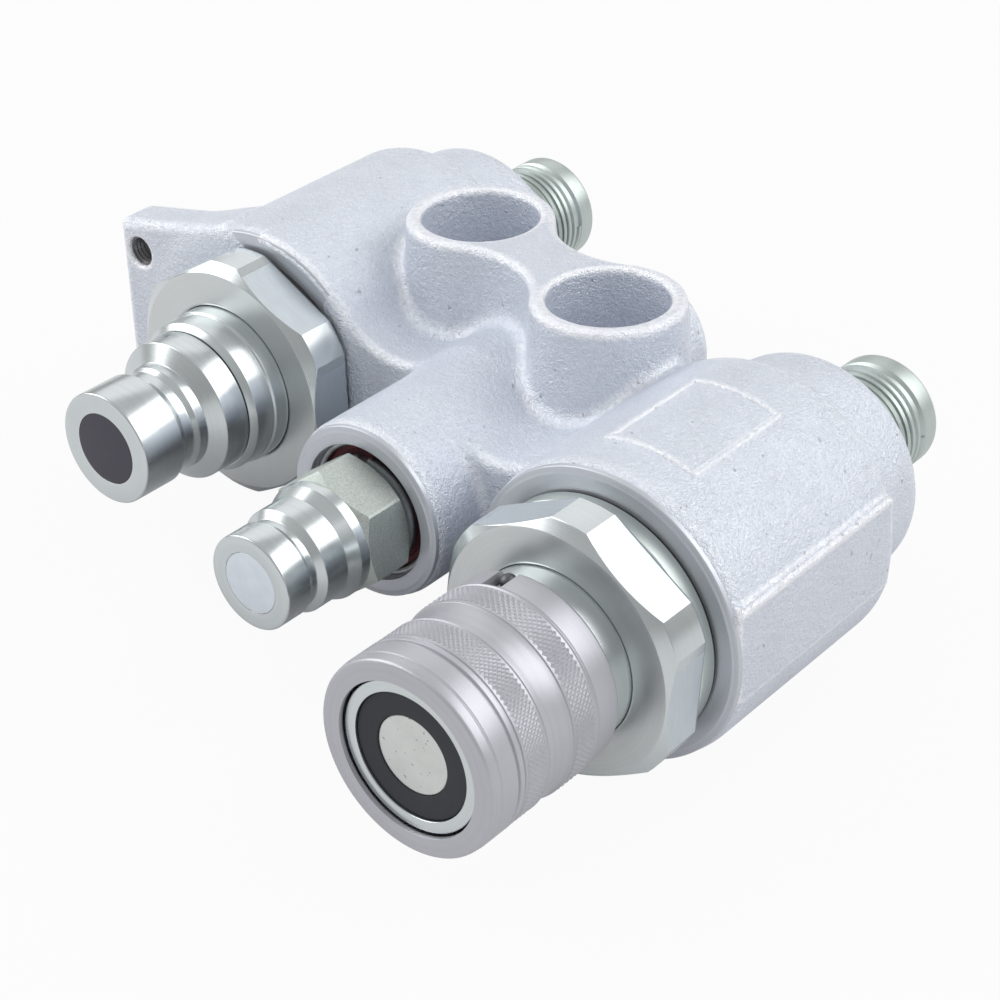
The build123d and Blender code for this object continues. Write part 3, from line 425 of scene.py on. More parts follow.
def waisted(u, v, first, first_radius, second, second_radius, blend):
    """Distance to two circles joined by hollow arcs that touch both, in one plane."""
    run = np.array(second) - np.array(first)
    span = np.hypot(*run)
    along = run / span
    a, b = first_radius + blend, second_radius + blend
    reach = (span**2 + a**2 - b**2) / (2 * span)
    height = math.sqrt(a**2 - reach**2)
    s = (u - first[0]) * along[0] + (v - first[1]) * along[1]
    t = np.abs((v - first[1]) * along[0] - (u - first[0]) * along[1])
    # Between the lines from the arc's centre to the circles' centres, the arc is nearest
    between = (reach * t <= height * s) & ((reach - span) * t >= height * (s - span))
    hollow = blend - np.hypot(s - reach, t - height)
    circles = np.minimum(circle(u, v, first, first_radius), circle(u, v, second, second_radius))
    return np.where(between, hollow, circles)


def join(a, b, blend):
    """Union with a rounded inner corner."""
    h = np.maximum(blend - np.abs(a - b), 0.0) / blend
    return np.minimum(a, b) - h * h * blend / 4


def meet(a, b, blend):
    """Intersection with a rounded outer corner."""
    return -join(-a, -b, blend)


def fade(depth):
    """Just above 0 outside, rising to 1 at 6 mm inside."""
    return np.clip(depth / 6.0, 0.004, 1.0)


def slab(value, low, high):
    """Distance to the space between two planes."""
    return np.maximum(low - value, value - high)


def polygon(u, v, corners):
    """Distance to a closed polygon, less than 0 inside."""
    best = np.full(np.broadcast(u, v).shape, 1e9, np.float32)
    inside = np.ones(best.shape, bool)
    for (au, av), (bu, bv) in zip(corners, corners[-1:] + corners[:-1]):
        eu, ev = bu - au, bv - av
        wu, wv = u - au, v - av
        t = np.clip((wu * eu + wv * ev) / (eu * eu + ev * ev), 0, 1)
        best = np.minimum(best, (wu - eu * t) ** 2 + (wv - ev * t) ** 2)
        above, below, left = v >= av, v < bv, eu * wv > ev * wu
        flip = (above & below & left) | (~above & ~below & ~left)
        inside ^= flip
    return np.sqrt(best) * np.where(inside, 1, -1)


def casting(x, y, z):
    """Distance in millimetres to the cast body's skin, less than 0 inside."""

    def barrel(centre_x, radius, front, rear, rounding):
        return meet(circle(x, z, (centre_x, 0), radius), slab(y, front, rear), rounding)

    male = barrel(MALE_X, BARREL, MALE_BLOCK_FACE, MALE_BARREL_REAR, 4.0)
    female = barrel(FEMALE_X, BARREL, FEMALE_BLOCK_FACE, FEMALE_BARREL_REAR, 4.0)
    male_rear = barrel(MALE_X, REAR_BOSS, 80, MALE_BOSS_REAR, 5.0)
    female_rear = barrel(FEMALE_X, REAR_BOSS, 50, FEMALE_BOSS_REAR, 5.0)
    drain = barrel(DRAIN_X, DRAIN_BARREL, DRAIN_BARREL_FRONT, DRAIN_BARREL_REAR, 3.0)
    drain_rear = barrel(DRAIN_X, DRAIN_BOSS, 80, DRAIN_BOSS_REAR, 3.0)
    # The flat pad on the outer side, with the rough ridge along its upper edge
    wobble = 0.35 * np.sin(y * 1.3) + 0.25 * np.sin(y * 2.9 + 1.0)
    pad = np.maximum(slab(x, FEMALE_X + 18, FLAT_X), slab(z, -8.0, FLAT_TOP))
    pad = meet(pad, slab(y, FEMALE_BLOCK_FACE + 0.8, FEMALE_BARREL_REAR - 1.6), 0.9)
    ridge = np.hypot((x - FLAT_X + 0.40) * 0.9, (z - FLAT_TOP + 0.25) / 0.9) - 0.5 - 0.18 * wobble
    ridge = meet(ridge, slab(y, FEMALE_BLOCK_FACE + 1.5, FEMALE_BARREL_REAR - 3.0), 0.8)
    female = meet(female, x - FLAT_X, 0.8)
    female = join(join(female, pad, 0.3), ridge, 0.7)
    # Webs between the barrels
    left_web = waisted(x, z, (MALE_X, 0), BARREL, (DRAIN_X, 0), DRAIN_BARREL, WEB_BLEND)
    left_web = meet(left_web, slab(y, MALE_BLOCK_FACE, DRAIN_BARREL_REAR), 2.0)
    right_web = waisted(x, z, (DRAIN_X, 0), DRAIN_BARREL, (FEMALE_X, 0), BARREL, WEB_BLEND)
    right_web = meet(right_web, slab(y, FEMALE_BLOCK_FACE + 13.8, FEMALE_BARREL_REAR - 1.6), 2.5)
    rear_web = waisted(x, z, (DRAIN_X, 0), DRAIN_BARREL, (FEMALE_X, 0), REAR_BOSS, WEB_BLEND)
    rear_web = meet(rear_web, slab(y, 50, 82), 4.0)
    # Each web ends at its barrels' axes, and its rounding fades where both have the same skin
    left_web = np.maximum(left_web, MALE_X - x)
    right_web, rear_web = np.maximum(right_web, x - FEMALE_X), np.maximum(rear_web, x - FEMALE_X)
    left = join(join(male, male_rear, 3.5), left_web, 2.5 * fade(x - MALE_X - 18.0))
    right = join(join(female, female_rear, 3.5), right_web, 2.5 * fade(FEMALE_X - 18.0 - x))
    right = join(right, rear_web, 3.0 * fade(FEMALE_X - 14.0 - x))
    middle = join(drain, drain_rear, 2.5)
    body = join(left, middle, 2.0 * fade(DRAIN_X - 8.0 - x))
    body = join(body, right, 2.0 * fade(x - DRAIN_X - 8.0))
    # The drafted bosses, their neck and their pockets
    lean = (BOSS_TOP - z) * math.tan(math.radians(3.0))
    wall = waisted(x, y, BOSSES[0], BOSS_RADIUS, BOSSES[1], BOSS_RADIUS, NECK_BLEND) - lean
    tower = meet(wall, np.maximum(z - BOSS_TOP, -z), 1.7)
    body = join(body, tower, 3.0)
    for centre in BOSSES:
        pocket = meet(circle(x, y, centre, POCKET_RADIUS), POCKET_FLOOR - z, 3.5)
        body = meet(body, -pocket, 1.1)
    # The ear plate and its threaded holes
    corners = [
        (-43.2, 21.6), (-43.2, -11.0), (-50.0, -25.0), (-8.0, -29.2), (10.0, 0.0), (-10.5, 28.4),
    ]
    ear = meet(polygon(x, z, corners), slab(y, MALE_BLOCK_FACE, MALE_BLOCK_FACE + 11.0), 2.4)
    body = join(body, ear, 5.0)
    for hole in EAR_HOLES:
        body = meet(body, -circle(x, z, hole, EAR_HOLE_RADIUS), 0.8)
    mouth = meet(circle(x, z, (DRAIN_X, 0), DRAIN_BORE), y - 27.0, 0.8)
    # The bores for the two cartridges and their nuts, and the hose port behind the middle barrel
    for centre_x, face in ((MALE_X, MALE_BLOCK_FACE), (FEMALE_X, FEMALE_BLOCK_FACE)):
        shank = np.maximum(circle(x, z, (centre_x, 0), NUT_BORE), y - face - 19.2)
        chamber = np.maximum(circle(x, z, (centre_x, 0), CARTRIDGE_BORE), y - face - 46.0)
        body = np.maximum(body, -np.minimum(shank, chamber))
    port = meet(circle(x, z, (DRAIN_X, 0), DRAIN_PORT), DRAIN_BOSS_REAR - 14.0 - y, 0.8)
    return meet(meet(body, -mouth, 0.8), -port, 0.8)


def surface_of(field, low, high, step):
    """A mesh of the zero surface of a distance field, one point in each cell that it crosses."""
    axes = [np.arange(a, b + step, step, dtype=np.float32) for a, b in zip(low, high)]
    x, y, z = np.meshgrid(*axes, indexing="ij", sparse=True)
    grid = field(x, y, z).astype(np.float32)
    inside = grid < 0
    shape = tuple(n - 1 for n in grid.shape)
    total = np.zeros((*shape, 3), np.float32)
    crossings = np.zeros(shape, np.float32)

    def corner(values, c):
        return values[c[0]:shape[0] + c[0], c[1]:shape[1] + c[1], c[2]:shape[2] + c[2]]

    for axis in range(3):
        for first in (0, 1):
            for second in (0, 1):
                start = [first, second]
                start.insert(axis, 0)
                end = list(start)
                end[axis] = 1
                a, b = corner(grid, start), corner(grid, end)
                crossed = (a < 0) != (b < 0)
                share = np.where(crossed, a / np.where(crossed, a - b, 1), 0)
                for d in range(3):
                    offset = share if d == axis else start[d]
                    total[..., d] += np.where(crossed, offset, 0)
                crossings += crossed
    cells = np.argwhere(crossings > 0)
    index = np.full(shape, -1, np.int64)
    index[tuple(cells.T)] = np.arange(len(cells))
    points = total[tuple(cells.T)] / crossings[tuple(cells.T)][:, None]
    points = (points + cells) * step + np.array(low)
    quads = []
    for axis in range(3):
        one, two = [d for d in range(3) if d != axis]
        ahead = [slice(None)] * 3
        behind = [slice(None)] * 3
        ahead[axis], behind[axis] = slice(1, None), slice(None, -1)
        changed = inside[tuple(behind)] != inside[tuple(ahead)]
        where = np.argwhere(changed)
        for d in (one, two):
            where = where[(where[:, d] > 0) & (where[:, d] < shape[d])]
        ring = []
        for du, dv in ((0, 0), (1, 0), (1, 1), (0, 1)):
            cell = where.copy()
            cell[:, one] -= du
            cell[:, two] -= dv
            ring.append(index[tuple(cell.T)])
        quad = np.stack(ring, 1)
        outward = inside[tuple(where.T)] ^ (axis == 1)
        quad[~outward] = quad[~outward][:, ::-1]
        quads.append(quad)
    for _ in range(3):
        points = settle(field, points)
    return points, np.concatenate(quads)


def settle(field, points):
    """Moves points onto the zero surface of a field, along its slope."""
    x, y, z = points.T
    reach = 0.05
    here = field(x, y, z)
    slope = np.stack(
        [
            field(x + reach, y, z) - field(x - reach, y, z),
            field(x, y + reach, z) - field(x, y - reach, z),
            field(x, y, z + reach) - field(x, y, z - reach),
        ],
        1,
    ) / (2 * reach)
    size = np.maximum((slope**2).sum(1), 0.25)
    move = -here[:, None] * slope / size[:, None]
    return points + np.clip(move, -0.5, 0.5)


def cast_body(materials):
    """The casting's skin, with how sharply it bends kept at each point."""
    step = 0.95
    points, quads = surface_of(casting, (-52.5, 11.0, -33.0), (150.0, 125.0, 36.0), step)
    mesh = bpy.data.meshes.new("cast_body")
    mesh.from_pydata((points * MM).tolist(), [], quads.tolist())
    mesh.validate()
    # The silver finish is painted brighter on rims and in fillets, a painted highlight where the skin
    # bends sharply
    x, y, z = points.T
    reach = 0.8
    shifts = [
        [side * reach * (i == axis) for i in range(3)] for axis in range(3) for side in (1, -1)
    ]
    bend = sum(casting(x + a, y + b, z + c) for a, b, c in shifts) - 6 * casting(x, y, z)
    bend = np.abs(bend) / reach**2
    mesh.attributes.new("bend", "FLOAT", "POINT").data.foreach_set("value", bend.astype(np.float32))
    replaced = ["manifold_block"]
    return finish_mesh("cast_body", mesh, materials, "block", replaced, 60)


def face_ring(name, x, face, outer, inner, depth, materials):
    """The crisp machined end of a barrel, standing a hair proud of the casting."""
    loop = [
        (inner, face + depth, 0), (inner, face - 0.04, 0.25), (outer - 1.9, face - 0.04, 0.15),
        (outer - 1.4, face + 0.14, 0.1), (outer - 0.6, face + 0.30, 0.3),
        (outer - 0.45, face + 1.2, 0), (outer - 1.5, face + 1.6, 0), (inner + 1.2, face + depth, 0),
    ]
    return turned(name, x, loop, materials, "block", [])


def raised_frame(name, centre, size, width, height, materials):
    """The raised frame that follows the crown of the female barrel, with a painted highlight along
    its edges.
    """
    shape = bmesh.new()
    rings = []
    shares = (-1.0, -0.8, -0.45, 0.0, 0.45, 0.8, 1.0)
    steps = 24
    for share in shares:
        half_x, half_y = (s / 2 - width / 2 + share * width / 2 for s in size)
        rise = BARREL - 0.10 + height * (1 - share**2) ** 0.35
        ring = []
        corners = [(-half_x, -half_y), (half_x, -half_y), (half_x, half_y), (-half_x, half_y)]
        for (ax, ay), (bx, by) in zip(corners, corners[1:] + corners[:1]):
            for i in range(steps):
                across = centre[0] - FEMALE_X + ax + (bx - ax) * i / steps
                along = centre[1] + ay + (by - ay) * i / steps
                angle = math.asin(across / BARREL)
                spot = (FEMALE_X + rise * math.sin(angle), along, rise * math.cos(angle))
                ring.append(shape.verts.new([c * MM for c in spot]))
        rings.append(ring)
    for inner, outer in zip(rings, rings[1:]):
        for i in range(len(inner)):
            j = (i + 1) % len(inner)
            shape.faces.new((inner[i], inner[j], outer[j], outer[i]))
    bmesh.ops.recalc_face_normals(shape, faces=shape.faces)
    mesh = bpy.data.meshes.new(name)
    shape.to_mesh(mesh)
    shape.free()
    # A high bend at the frame's edges makes the silver finish paint a highlight along them
    bend = [0.35 + 0.65 * share**2 for share in shares for _ in range(4 * steps)]
    mesh.attributes.new("bend", "FLOAT", "POINT").data.foreach_set("value", bend)
    return finish_mesh(name, mesh, materials, "block", [], 60)


# Nuts

def hexagon_reach(angle, flat, turned_radius, flat_normal):
    """How far a hexagon turned down to a round reaches at this angle."""
    turn = (angle - flat_normal + math.pi / 6) % (math.pi / 3) - math.pi / 6
    return min(flat / math.cos(turn), turned_radius)


def hexagon_angles(flat, turned_radius, flat_normal):
    """Angles that meet each edge between a flat and its turned corners."""
    flat_steps, corner_steps = 10, 4
    edge = math.acos(min(1.0, flat / turned_radius))
    angles = []
    for i in range(6):
        middle = flat_normal + i * math.pi / 3
        angles += [middle - edge + 2 * edge * j / flat_steps for j in range(flat_steps)]
        gap = math.pi / 3 - 2 * edge
        angles += [middle + edge + gap * j / corner_steps for j in range(corner_steps)]
    return angles


def retaining_nut(name, x, face, flat_normal, materials, replaced):
    """A hexagon nut with turned corners and a chamfered face, on its threaded shank."""
    flat, round_radius, face_radius, chamfer, height = 25.1, 27.05, 24.8, 1.75, 10.25
    bore, shank = 17.4, 22.5
    rear = face + height
    slope = chamfer / (round_radius - face_radius)

    def outline(angle):
        reach = hexagon_reach(angle, flat, round_radius, flat_normal)
        turn = face + (reach - face_radius) * slope
        return [
            (bore, face + 0.5), (17.5, face + 0.15), (17.9, face), (22.0, face),
            (face_radius - 0.15, face), (face_radius, face + 0.04), (reach - 0.12, turn - 0.09),
            (reach, turn + 0.06), (reach, rear - 0.5), (reach - 0.1, rear - 0.08),
            (reach - 0.3, rear), (shank, rear), (shank, rear + 20), (bore, rear + 20),
        ]

    def pick(a, b):
        """Finish 0 on the face and inside, 1 on the flats, 2 on the chamfer and the corners."""
        low, high = sorted(math.hypot(p.x / MM - x, p.z / MM) for p in (a, b))
        if abs(a.y - b.y) < 1e-6 or a.y / MM < face + 0.03 or high < shank + 0.5:
            return 0
        return 2 if high - low > 0.05 or low > round_radius - 0.03 else 1

    mesh = turned_mesh(x, outline, hexagon_angles(flat, round_radius, flat_normal), True, pick)
    return finish_mesh(name, mesh, materials, "block", replaced, 12)


# Repeated shapes, made with Geometry Nodes

class Pattern(Graph):
    """A Geometry Nodes tree with a named float input for each size."""

    def __init__(self, name, sizes):
        super().__init__(bpy.data.node_groups.new(name, "GeometryNodeTree"))
        sockets = self.tree.interface
        sockets.new_socket("Geometry", in_out="OUTPUT", socket_type="NodeSocketGeometry")
        for size in sizes:
            sockets.new_socket(size, in_out="INPUT", socket_type="NodeSocketFloat")
        entry = self.tree.nodes.new("NodeGroupInput")
        self.sizes = [Value(self, entry.outputs[size]) for size in sizes]

    def close(self, geometry, material):
        real = self.node("GeometryNodeRealizeInstances", {}, {"Geometry": geometry})
        coated = self.node("GeometryNodeSetMaterial", {}, {"Geometry": real, "Material": material})
        out = self.tree.nodes.new("NodeGroupOutput")
        self.tree.links.new(coated.socket, out.inputs[0])

    def grow(self, name, sizes):
        """The plain mesh that the tree makes with these sizes."""
        holder = bpy.data.objects.new(name + "_holder", bpy.data.meshes.new(name + "_seed"))
        bpy.context.scene.collection.objects.link(holder)
        modifier = holder.modifiers.new("grow", "NODES")
        modifier.node_group = self.tree
        for item in self.tree.interface.items_tree:
            if item.in_out == "INPUT":
                modifier[item.identifier] = sizes[item.name]
        holder.update_tag()
        graph = bpy.context.evaluated_depsgraph_get()
        mesh = bpy.data.meshes.new_from_object(
            holder.evaluated_get(graph), preserve_all_data_layers=True, depsgraph=graph
        )
        bpy.data.objects.remove(holder)
        mesh.name = name
        return mesh


def knurl_pattern(material):
    """Small pyramids in staggered rows round a band, which is a crossed knurl."""
    g = Pattern("knurl", ("Centre", "Radius", "Front", "Row Pitch", "Rows", "Around", "Height"))
    centre, radius, front, row_pitch, rows, around, height = g.sizes
    points = g.node("GeometryNodePoints", {}, {"Count": rows * around})
    index = g.node("GeometryNodeInputIndex")
    row = ((index + 0.5) / around).math("FLOOR")
    shift = row.math("MODULO", 2.0) * 0.5
    angle = (index - row * around + shift) / around * (2 * math.pi)
    across, up = angle.math("SINE") * radius, angle.math("COSINE") * radius
    place = g.vector(centre + across, front + row * row_pitch, up)
    spread = g.node("GeometryNodeSetPosition", {}, {"Geometry": points, "Position": place})
    tooth = g.node(
        "GeometryNodeMeshCone",
        {"fill_type": "NONE"},
        {"Vertices": 4, "Radius Top": 0.14, "Radius Bottom": 1.0, "Depth": 1.0},
    )
    capped = g.node("GeometryNodeMergeByDistance", {}, {"Geometry": tooth, "Distance": 0.001})
    scale = g.vector(radius * (2 * math.pi) / around * 0.5, row_pitch, height)
    turn = g.node("FunctionNodeEulerToRotation", {}, {"Euler": g.vector(0.0, angle, 0.0)})
    teeth = g.node(
        "GeometryNodeInstanceOnPoints",
        {},
        {"Points": spread, "Instance": capped, "Rotation": turn, "Scale": scale},
    )
    g.close(teeth, material)
    return g


def knurl(name, pattern, radius, front, rear, row_pitch, around, height, body):
    """A knurled band of the sleeve between two stations, with `around` teeth in each row."""
    rows = int((rear - front) / row_pitch) - 1
    start = (front + rear - (rows - 1) * row_pitch) / 2
    sizes = {
        "Centre": FEMALE_X * MM, "Radius": radius * MM, "Front": start * MM,
        "Row Pitch": row_pitch * MM, "Rows": float(rows), "Around": float(around),
        "Height": height * MM,
    }
    piece = bpy.data.objects.new(name, pattern.grow(name, sizes))
    bpy.context.scene.collection.objects.link(piece)
    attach(piece, body)


def helix_pattern(name, material):
    """A round wire or a thread's ridge: a small section carried along a helix about a port."""
    g = Pattern(name, ("Centre", "Radius", "Front", "Pitch", "Turns", "Height"))
    centre, radius, front, pitch, turns, height = g.sizes
    helix = g.node(
        "GeometryNodeCurveSpiral",
        {},
        {
            "Resolution": 96, "Rotations": turns, "Start Radius": radius, "End Radius": radius,
            "Height": pitch * turns,
        },
    )
    laid = g.node(
        "GeometryNodeTransform",
        {},
        {
            "Geometry": helix, "Translation": g.vector(centre, front, 0.0),
            "Rotation": (-math.pi / 2, 0, 0),
        },
    )
    section = g.node(
        "GeometryNodeCurvePrimitiveCircle", {"mode": "RADIUS"}, {"Resolution": 6, "Radius": height}
    )
    wound = g.node(
        "GeometryNodeCurveToMesh",
        {},
        {"Curve": laid, "Profile Curve": section, "Fill Caps": True},
    )
    g.close(wound, material)
    return g


def wind(name, pattern, x, radius, front, pitch, turns, wire):
    """A helix of these sizes about the port at x, as a mesh."""
    sizes = {
        "Centre": x * MM, "Radius": radius * MM, "Front": front * MM, "Pitch": pitch * MM,
        "Turns": float(turns), "Height": wire * MM,
    }
    return pattern.grow(name, sizes)


# The pieces

def port_finishes(x):
    """Turned finishes whose rings run about the port at x."""
    tag = {MALE_X: "male", DRAIN_X: "drain", FEMALE_X: "female"}[x]
    return {
        "face": turned_zinc("nut_face_" + tag, x, (0.67, 0.70, 0.70), 0.36, 3.0, 0.010),
        "bright": turned_zinc("bright_zinc_" + tag, x, (0.66, 0.70, 0.71), 0.24, 1.6, 0.006),
        "satin": turned_zinc("satin_zinc_" + tag, x, (0.64, 0.69, 0.67), 0.40, 2.2, 0.010),
        "fitting": turned_zinc("fitting_zinc_" + tag, x, (0.56, 0.62, 0.60), 0.42, 2.2, 0.010),
        "machined": machined_casting("machined_casting_" + tag, x),
    }


male, drain, female = (port_finishes(x) for x in (MALE_X, DRAIN_X, FEMALE_X))
steel = plain_steel()
# The stop ball is painted dark: painted shade of the notch that it sits in
dark_steel = turned_zinc("dark_steel", FEMALE_X, (0.16, 0.16, 0.17), 0.45)
flats = brushed_zinc("brushed_flats", (0.67, 0.73, 0.77), 0.41)
black_rubber = rubber("black_rubber", (0.012, 0.013, 0.017), FEMALE_X)
red_rubber = rubber("red_rubber", (0.075, 0.010, 0.014), DRAIN_X)
sleeve_grey = grey_sleeve()
dark_valve = turned_zinc("dark_valve", MALE_X, (0.095, 0.089, 0.110), 0.42, 1.2, 0.010)
pale_valve = flat_steel("pale_valve", (0.74, 0.79, 0.85), 0.42, (0.85, 0.88, 0.92), 0.5)
stem_face = flat_steel("stem_face", (0.66, 0.68, 0.66), 0.38, (0.12, 0.12, 0.12), 0.7)
blasted = blasted_zinc()

silver = silver_casting()
cast_body([silver])
raised_frame("raised_frame", (118.55, 39.05), (20.4, 27.9), 1.5, 0.6, [silver])
for name, x, face, coat in (
    ("male_barrel_face", MALE_X, MALE_BLOCK_FACE, male),
    ("female_barrel_face", FEMALE_X, FEMALE_BLOCK_FACE, female),
):
    face_ring(name, x, face, BARREL, 23.5, 1.5, [coat["machined"]])
face_ring(
    "drain_barrel_face", DRAIN_X, DRAIN_BARREL_FRONT, DRAIN_BARREL, DRAIN_BORE - 0.1, 9.0,
    [drain["machined"]],
)

for name, x, face, first_flat, coat, node in (
    ("male_nut", MALE_X, MALE_NUT_FACE, 29, male, "male_retaining_nut"),
    ("female_nut", FEMALE_X, FEMALE_NUT_FACE, 35, female, "female_retaining_nut"),
):
    coats = [coat["face"], flats, coat["bright"]]
    retaining_nut(name, x, face, math.radians(first_flat), coats, [node])
turned(
    "female_washer", FEMALE_X,
    [
        (22.55, 9.45), (25.1, 9.45, 0.3), (25.1, 13.1, 0.1), (24.98, 13.1, 0), (24.98, 12.68, 0),
        (22.55, 12.68),
    ],
    [female["satin"]], "block", ["female_nut_washer"],
)

# The male cartridge
turned(
    "male_tip", MALE_X,
    [
        (7.85, 0, 0.06), (12.25, 0, 0.45), (12.25, 10.2, 0.25), (10.9, 12.0, 0.8), (10.9, 14.4, 0.6),
        (11.6, 15.6, 0.5), (11.6, 17.8, 0.3), (15.4, 19.8, 0.35), (15.4, 25.85, 0.15), (14.2, 25.85),
        (14.2, 35.85), (11.5, 35.85), (11.5, 20.5), (9.4, 18.5), (9.4, 4.6), (7.85, 3.4),
    ],
    [male["bright"]], "male_cartridge", ["male_nipple"],
)
turned(
    "male_collar", MALE_X,
    [
        (14.25, 26.05), (15.6, 26.05, 0.1), (16.8, 27.25, 0.3), (16.8, 32.0, 0.15),
        (17.3, 32.3, 0.15), (17.35, 66.25), (19.3, 66.25), (19.3, 69.25), (14.8, 69.25),
        (14.8, 83.75), (13.05, 83.75), (13.05, 39.0), (11.5, 39.0), (11.5, 36.15), (14.25, 36.15),
    ],
    [male["bright"]], "male_cartridge", ["male_carrier"],
)
turned(
    "male_poppet", MALE_X,
    [
        (0, 0), (7.8, 0, 0.12), (7.8, 6.0), (3.2, 6.0), (3.2, 43.3), (4.7, 43.3), (4.7, 46.3),
        (0, 46.3),
    ],
    [dark_valve], "male_valve", ["male_valve"], closed=False,
)


# The drain nipple: turned tip, blasted hexagon and the neck behind it. A hexagon is given as half
# its width across the flats, the radius its corners are turned to, and its first flat's angle.
DRAIN_HEX = (12.0, 13.7, math.radians(24))


def drain_hexagon(angle):
    front, rear, neck, corner, chamfer = 2.2, 13.4, 12.0, 13.86, 1.3
    reach = hexagon_reach(angle, *DRAIN_HEX)
    rise = chamfer * (reach - neck) / (corner - neck)
    return [
        (11.0, front), (neck - 0.1, front), (neck, front + 0.02), (reach - 0.1, front + rise),
        (reach, front + rise + 0.1), (reach, rear - rise - 0.1), (reach - 0.1, rear - rise),
        (neck, rear - 0.02), (11.0, rear),
    ]


mesh = turned_mesh(DRAIN_X, drain_hexagon, hexagon_angles(*DRAIN_HEX), False)
finish_mesh("drain_hexagon", mesh, [blasted], "block", [], 12)
turned(
    "drain_tip", DRAIN_X,
    [
        (6.38, DRAIN_FACE, 0.06), (9.85, DRAIN_FACE, 0.45), (9.85, -11.8, 0.2), (9.2, -10.8, 0.4),
        (9.2, -9.4, 0.4), (10.8, -8.2, 0.3), (10.8, -2.7, 0.3), (12.0, 0.0, 0.3), (12.0, 34.0),
        (9.0, 34.0), (9.0, 50.0), (7.65, 50.0), (7.65, 43.6), (7.4, 43.6), (7.4, -14.2),
        (6.38, -15.2),
    ],
    [drain["bright"]], "block", ["drain_nipple"],
)
turned(
    "drain_poppet", DRAIN_X,
    [
        (0, DRAIN_FACE), (6.33, DRAIN_FACE, 0.12), (6.33, -13.3), (2.2, -13.3), (2.2, 47.9),
        (3.7, 47.9), (3.7, 50.9), (0, 50.9),
    ],
    [pale_valve], "drain_valve", ["drain_valve"], closed=False,
)

# The female cartridge
turned(
    "female_shell", FEMALE_X,
    [
        (12.35, FEMALE_FACE, 0.3), (14.72, FEMALE_FACE, 0.35), (14.72, -10.04), (17.35, -10.04, 0.4),
        (17.35, 29.75), (19.3, 29.75), (19.3, 32.75), (14.8, 32.75), (14.8, 47.25), (13.05, 47.25),
        (13.05, 2.96), (12.35, 2.96),
    ],
    [female["bright"]], "female_cartridge", ["female_body"],
)
turned(
    "female_centre", FEMALE_X,
    [
        (0, -38.84), (7.7, -38.84, 0.35), (7.7, -33.84), (4.6, -28.84), (4.6, 2.96), (13.0, 2.96),
        (13.0, 6.96), (0, 6.96),
    ],
    [stem_face], "female_cartridge", ["female_stem"], closed=False,
)
turned(
    "female_seal", FEMALE_X,
    [
        (7.75, -39.08, 0.25), (12.3, -39.08, 0.35), (12.3, -25.08), (10.4, -25.08), (10.4, -32.58),
        (7.75, -32.58),
    ],
    [black_rubber], "seal_sleeve", ["seal_sleeve"],
)

# The locking sleeve, with the notch over its stop ball
sleeve_outline = [
    (15.05, -40.7, 0.1), (18.95, -40.7, 0.8), (19.2, -38.6, 0.1), (19.05, -38.25, 0.1),
    (19.2, -37.9, 0.1), (19.2, -34.3, 0.1), (18.75, -34.1, 0.1), (18.75, -33.7, 0.1),
    (19.2, -33.5, 0.1), (19.2, -32.55, 0.1), (18.75, -32.35, 0.1), (18.75, -32.05, 0.1),
    (19.0, -31.9, 0.05), (19.0, -25.9, 0.05), (19.2, -25.75, 0.1), (18.95, -24.4, 3.0),
    (18.85, -22.6, 6.0), (18.98, -20.6, 3.0), (19.2, -19.55, 0.2), (19.5, -19.5, 0.1),
    (19.3, -19.3, 0.05), (19.3, -13.3, 0.05), (19.5, -13.1, 0.1), (19.4, -12.7, 0.2),
    (19.2, -12.4, 0.2), (19.2, -6.7, 1.1), (17.45, -6.7, 0.2), (17.45, -9.7), (17.9, -9.7),
    (17.9, -26.54), (15.2, -26.54), (15.2, -32.04), (17.0, -32.04), (17.0, -39.7),
    (15.05, -39.7, 0.1),
]
NOTCH_TURN, NOTCH_HALF, NOTCH_FLOOR = math.radians(-13.0), 2.1 / 18.4, -12.5
sleeve_points = soften(sleeve_outline)


def sleeve_section(angle):
    """The sleeve's outline, cut short where the notch for the stop ball is."""
    if abs(angle - NOTCH_TURN) > NOTCH_HALF:
        return sleeve_points
    return [
        Vector((p[0], min(p[1], NOTCH_FLOOR + 0.0005 * i))) for i, p in enumerate(sleeve_points)
    ]


edges = [NOTCH_TURN + side * (NOTCH_HALF + nudge) for side in (-1, 1) for nudge in (-1e-4, 1e-4)]
angles = sorted([angle - math.pi for angle in full_turn(180)] + edges)
mesh = turned_mesh(FEMALE_X, sleeve_section, angles)
finish_mesh(
    "coupler_sleeve", mesh, [sleeve_grey], "locking_sleeve", ["locking_sleeve"]
)
teeth = knurl_pattern(sleeve_grey)
knurl("front_knurl", teeth, 19.02, -31.9, -25.9, 0.55, 112, 0.15, "locking_sleeve")
knurl("rear_knurl", teeth, 19.32, -19.4, -13.2, 0.62, 100, 0.21, "locking_sleeve")

# The fixing threads in the ear plate
thread_steel = turned_zinc("ear_thread_steel", EAR_HOLES[0][0], (0.20, 0.20, 0.21), 0.45)
for name, (x, height) in zip(("upper_thread", "lower_thread"), EAR_HOLES):
    turns = [(3.36 if i % 2 else 2.92, 48.0 + 0.5 * i, 0.05) for i in range(20)]
    points = soften(turns + [(3.6, 57.5, 0), (3.6, 48.0, 0)])
    mesh = turned_mesh(x, lambda angle: points, full_turn(64))
    mesh.transform(Matrix.Translation((0, 0, height * MM)))
    finish_mesh(name, mesh, [thread_steel], "block", [])

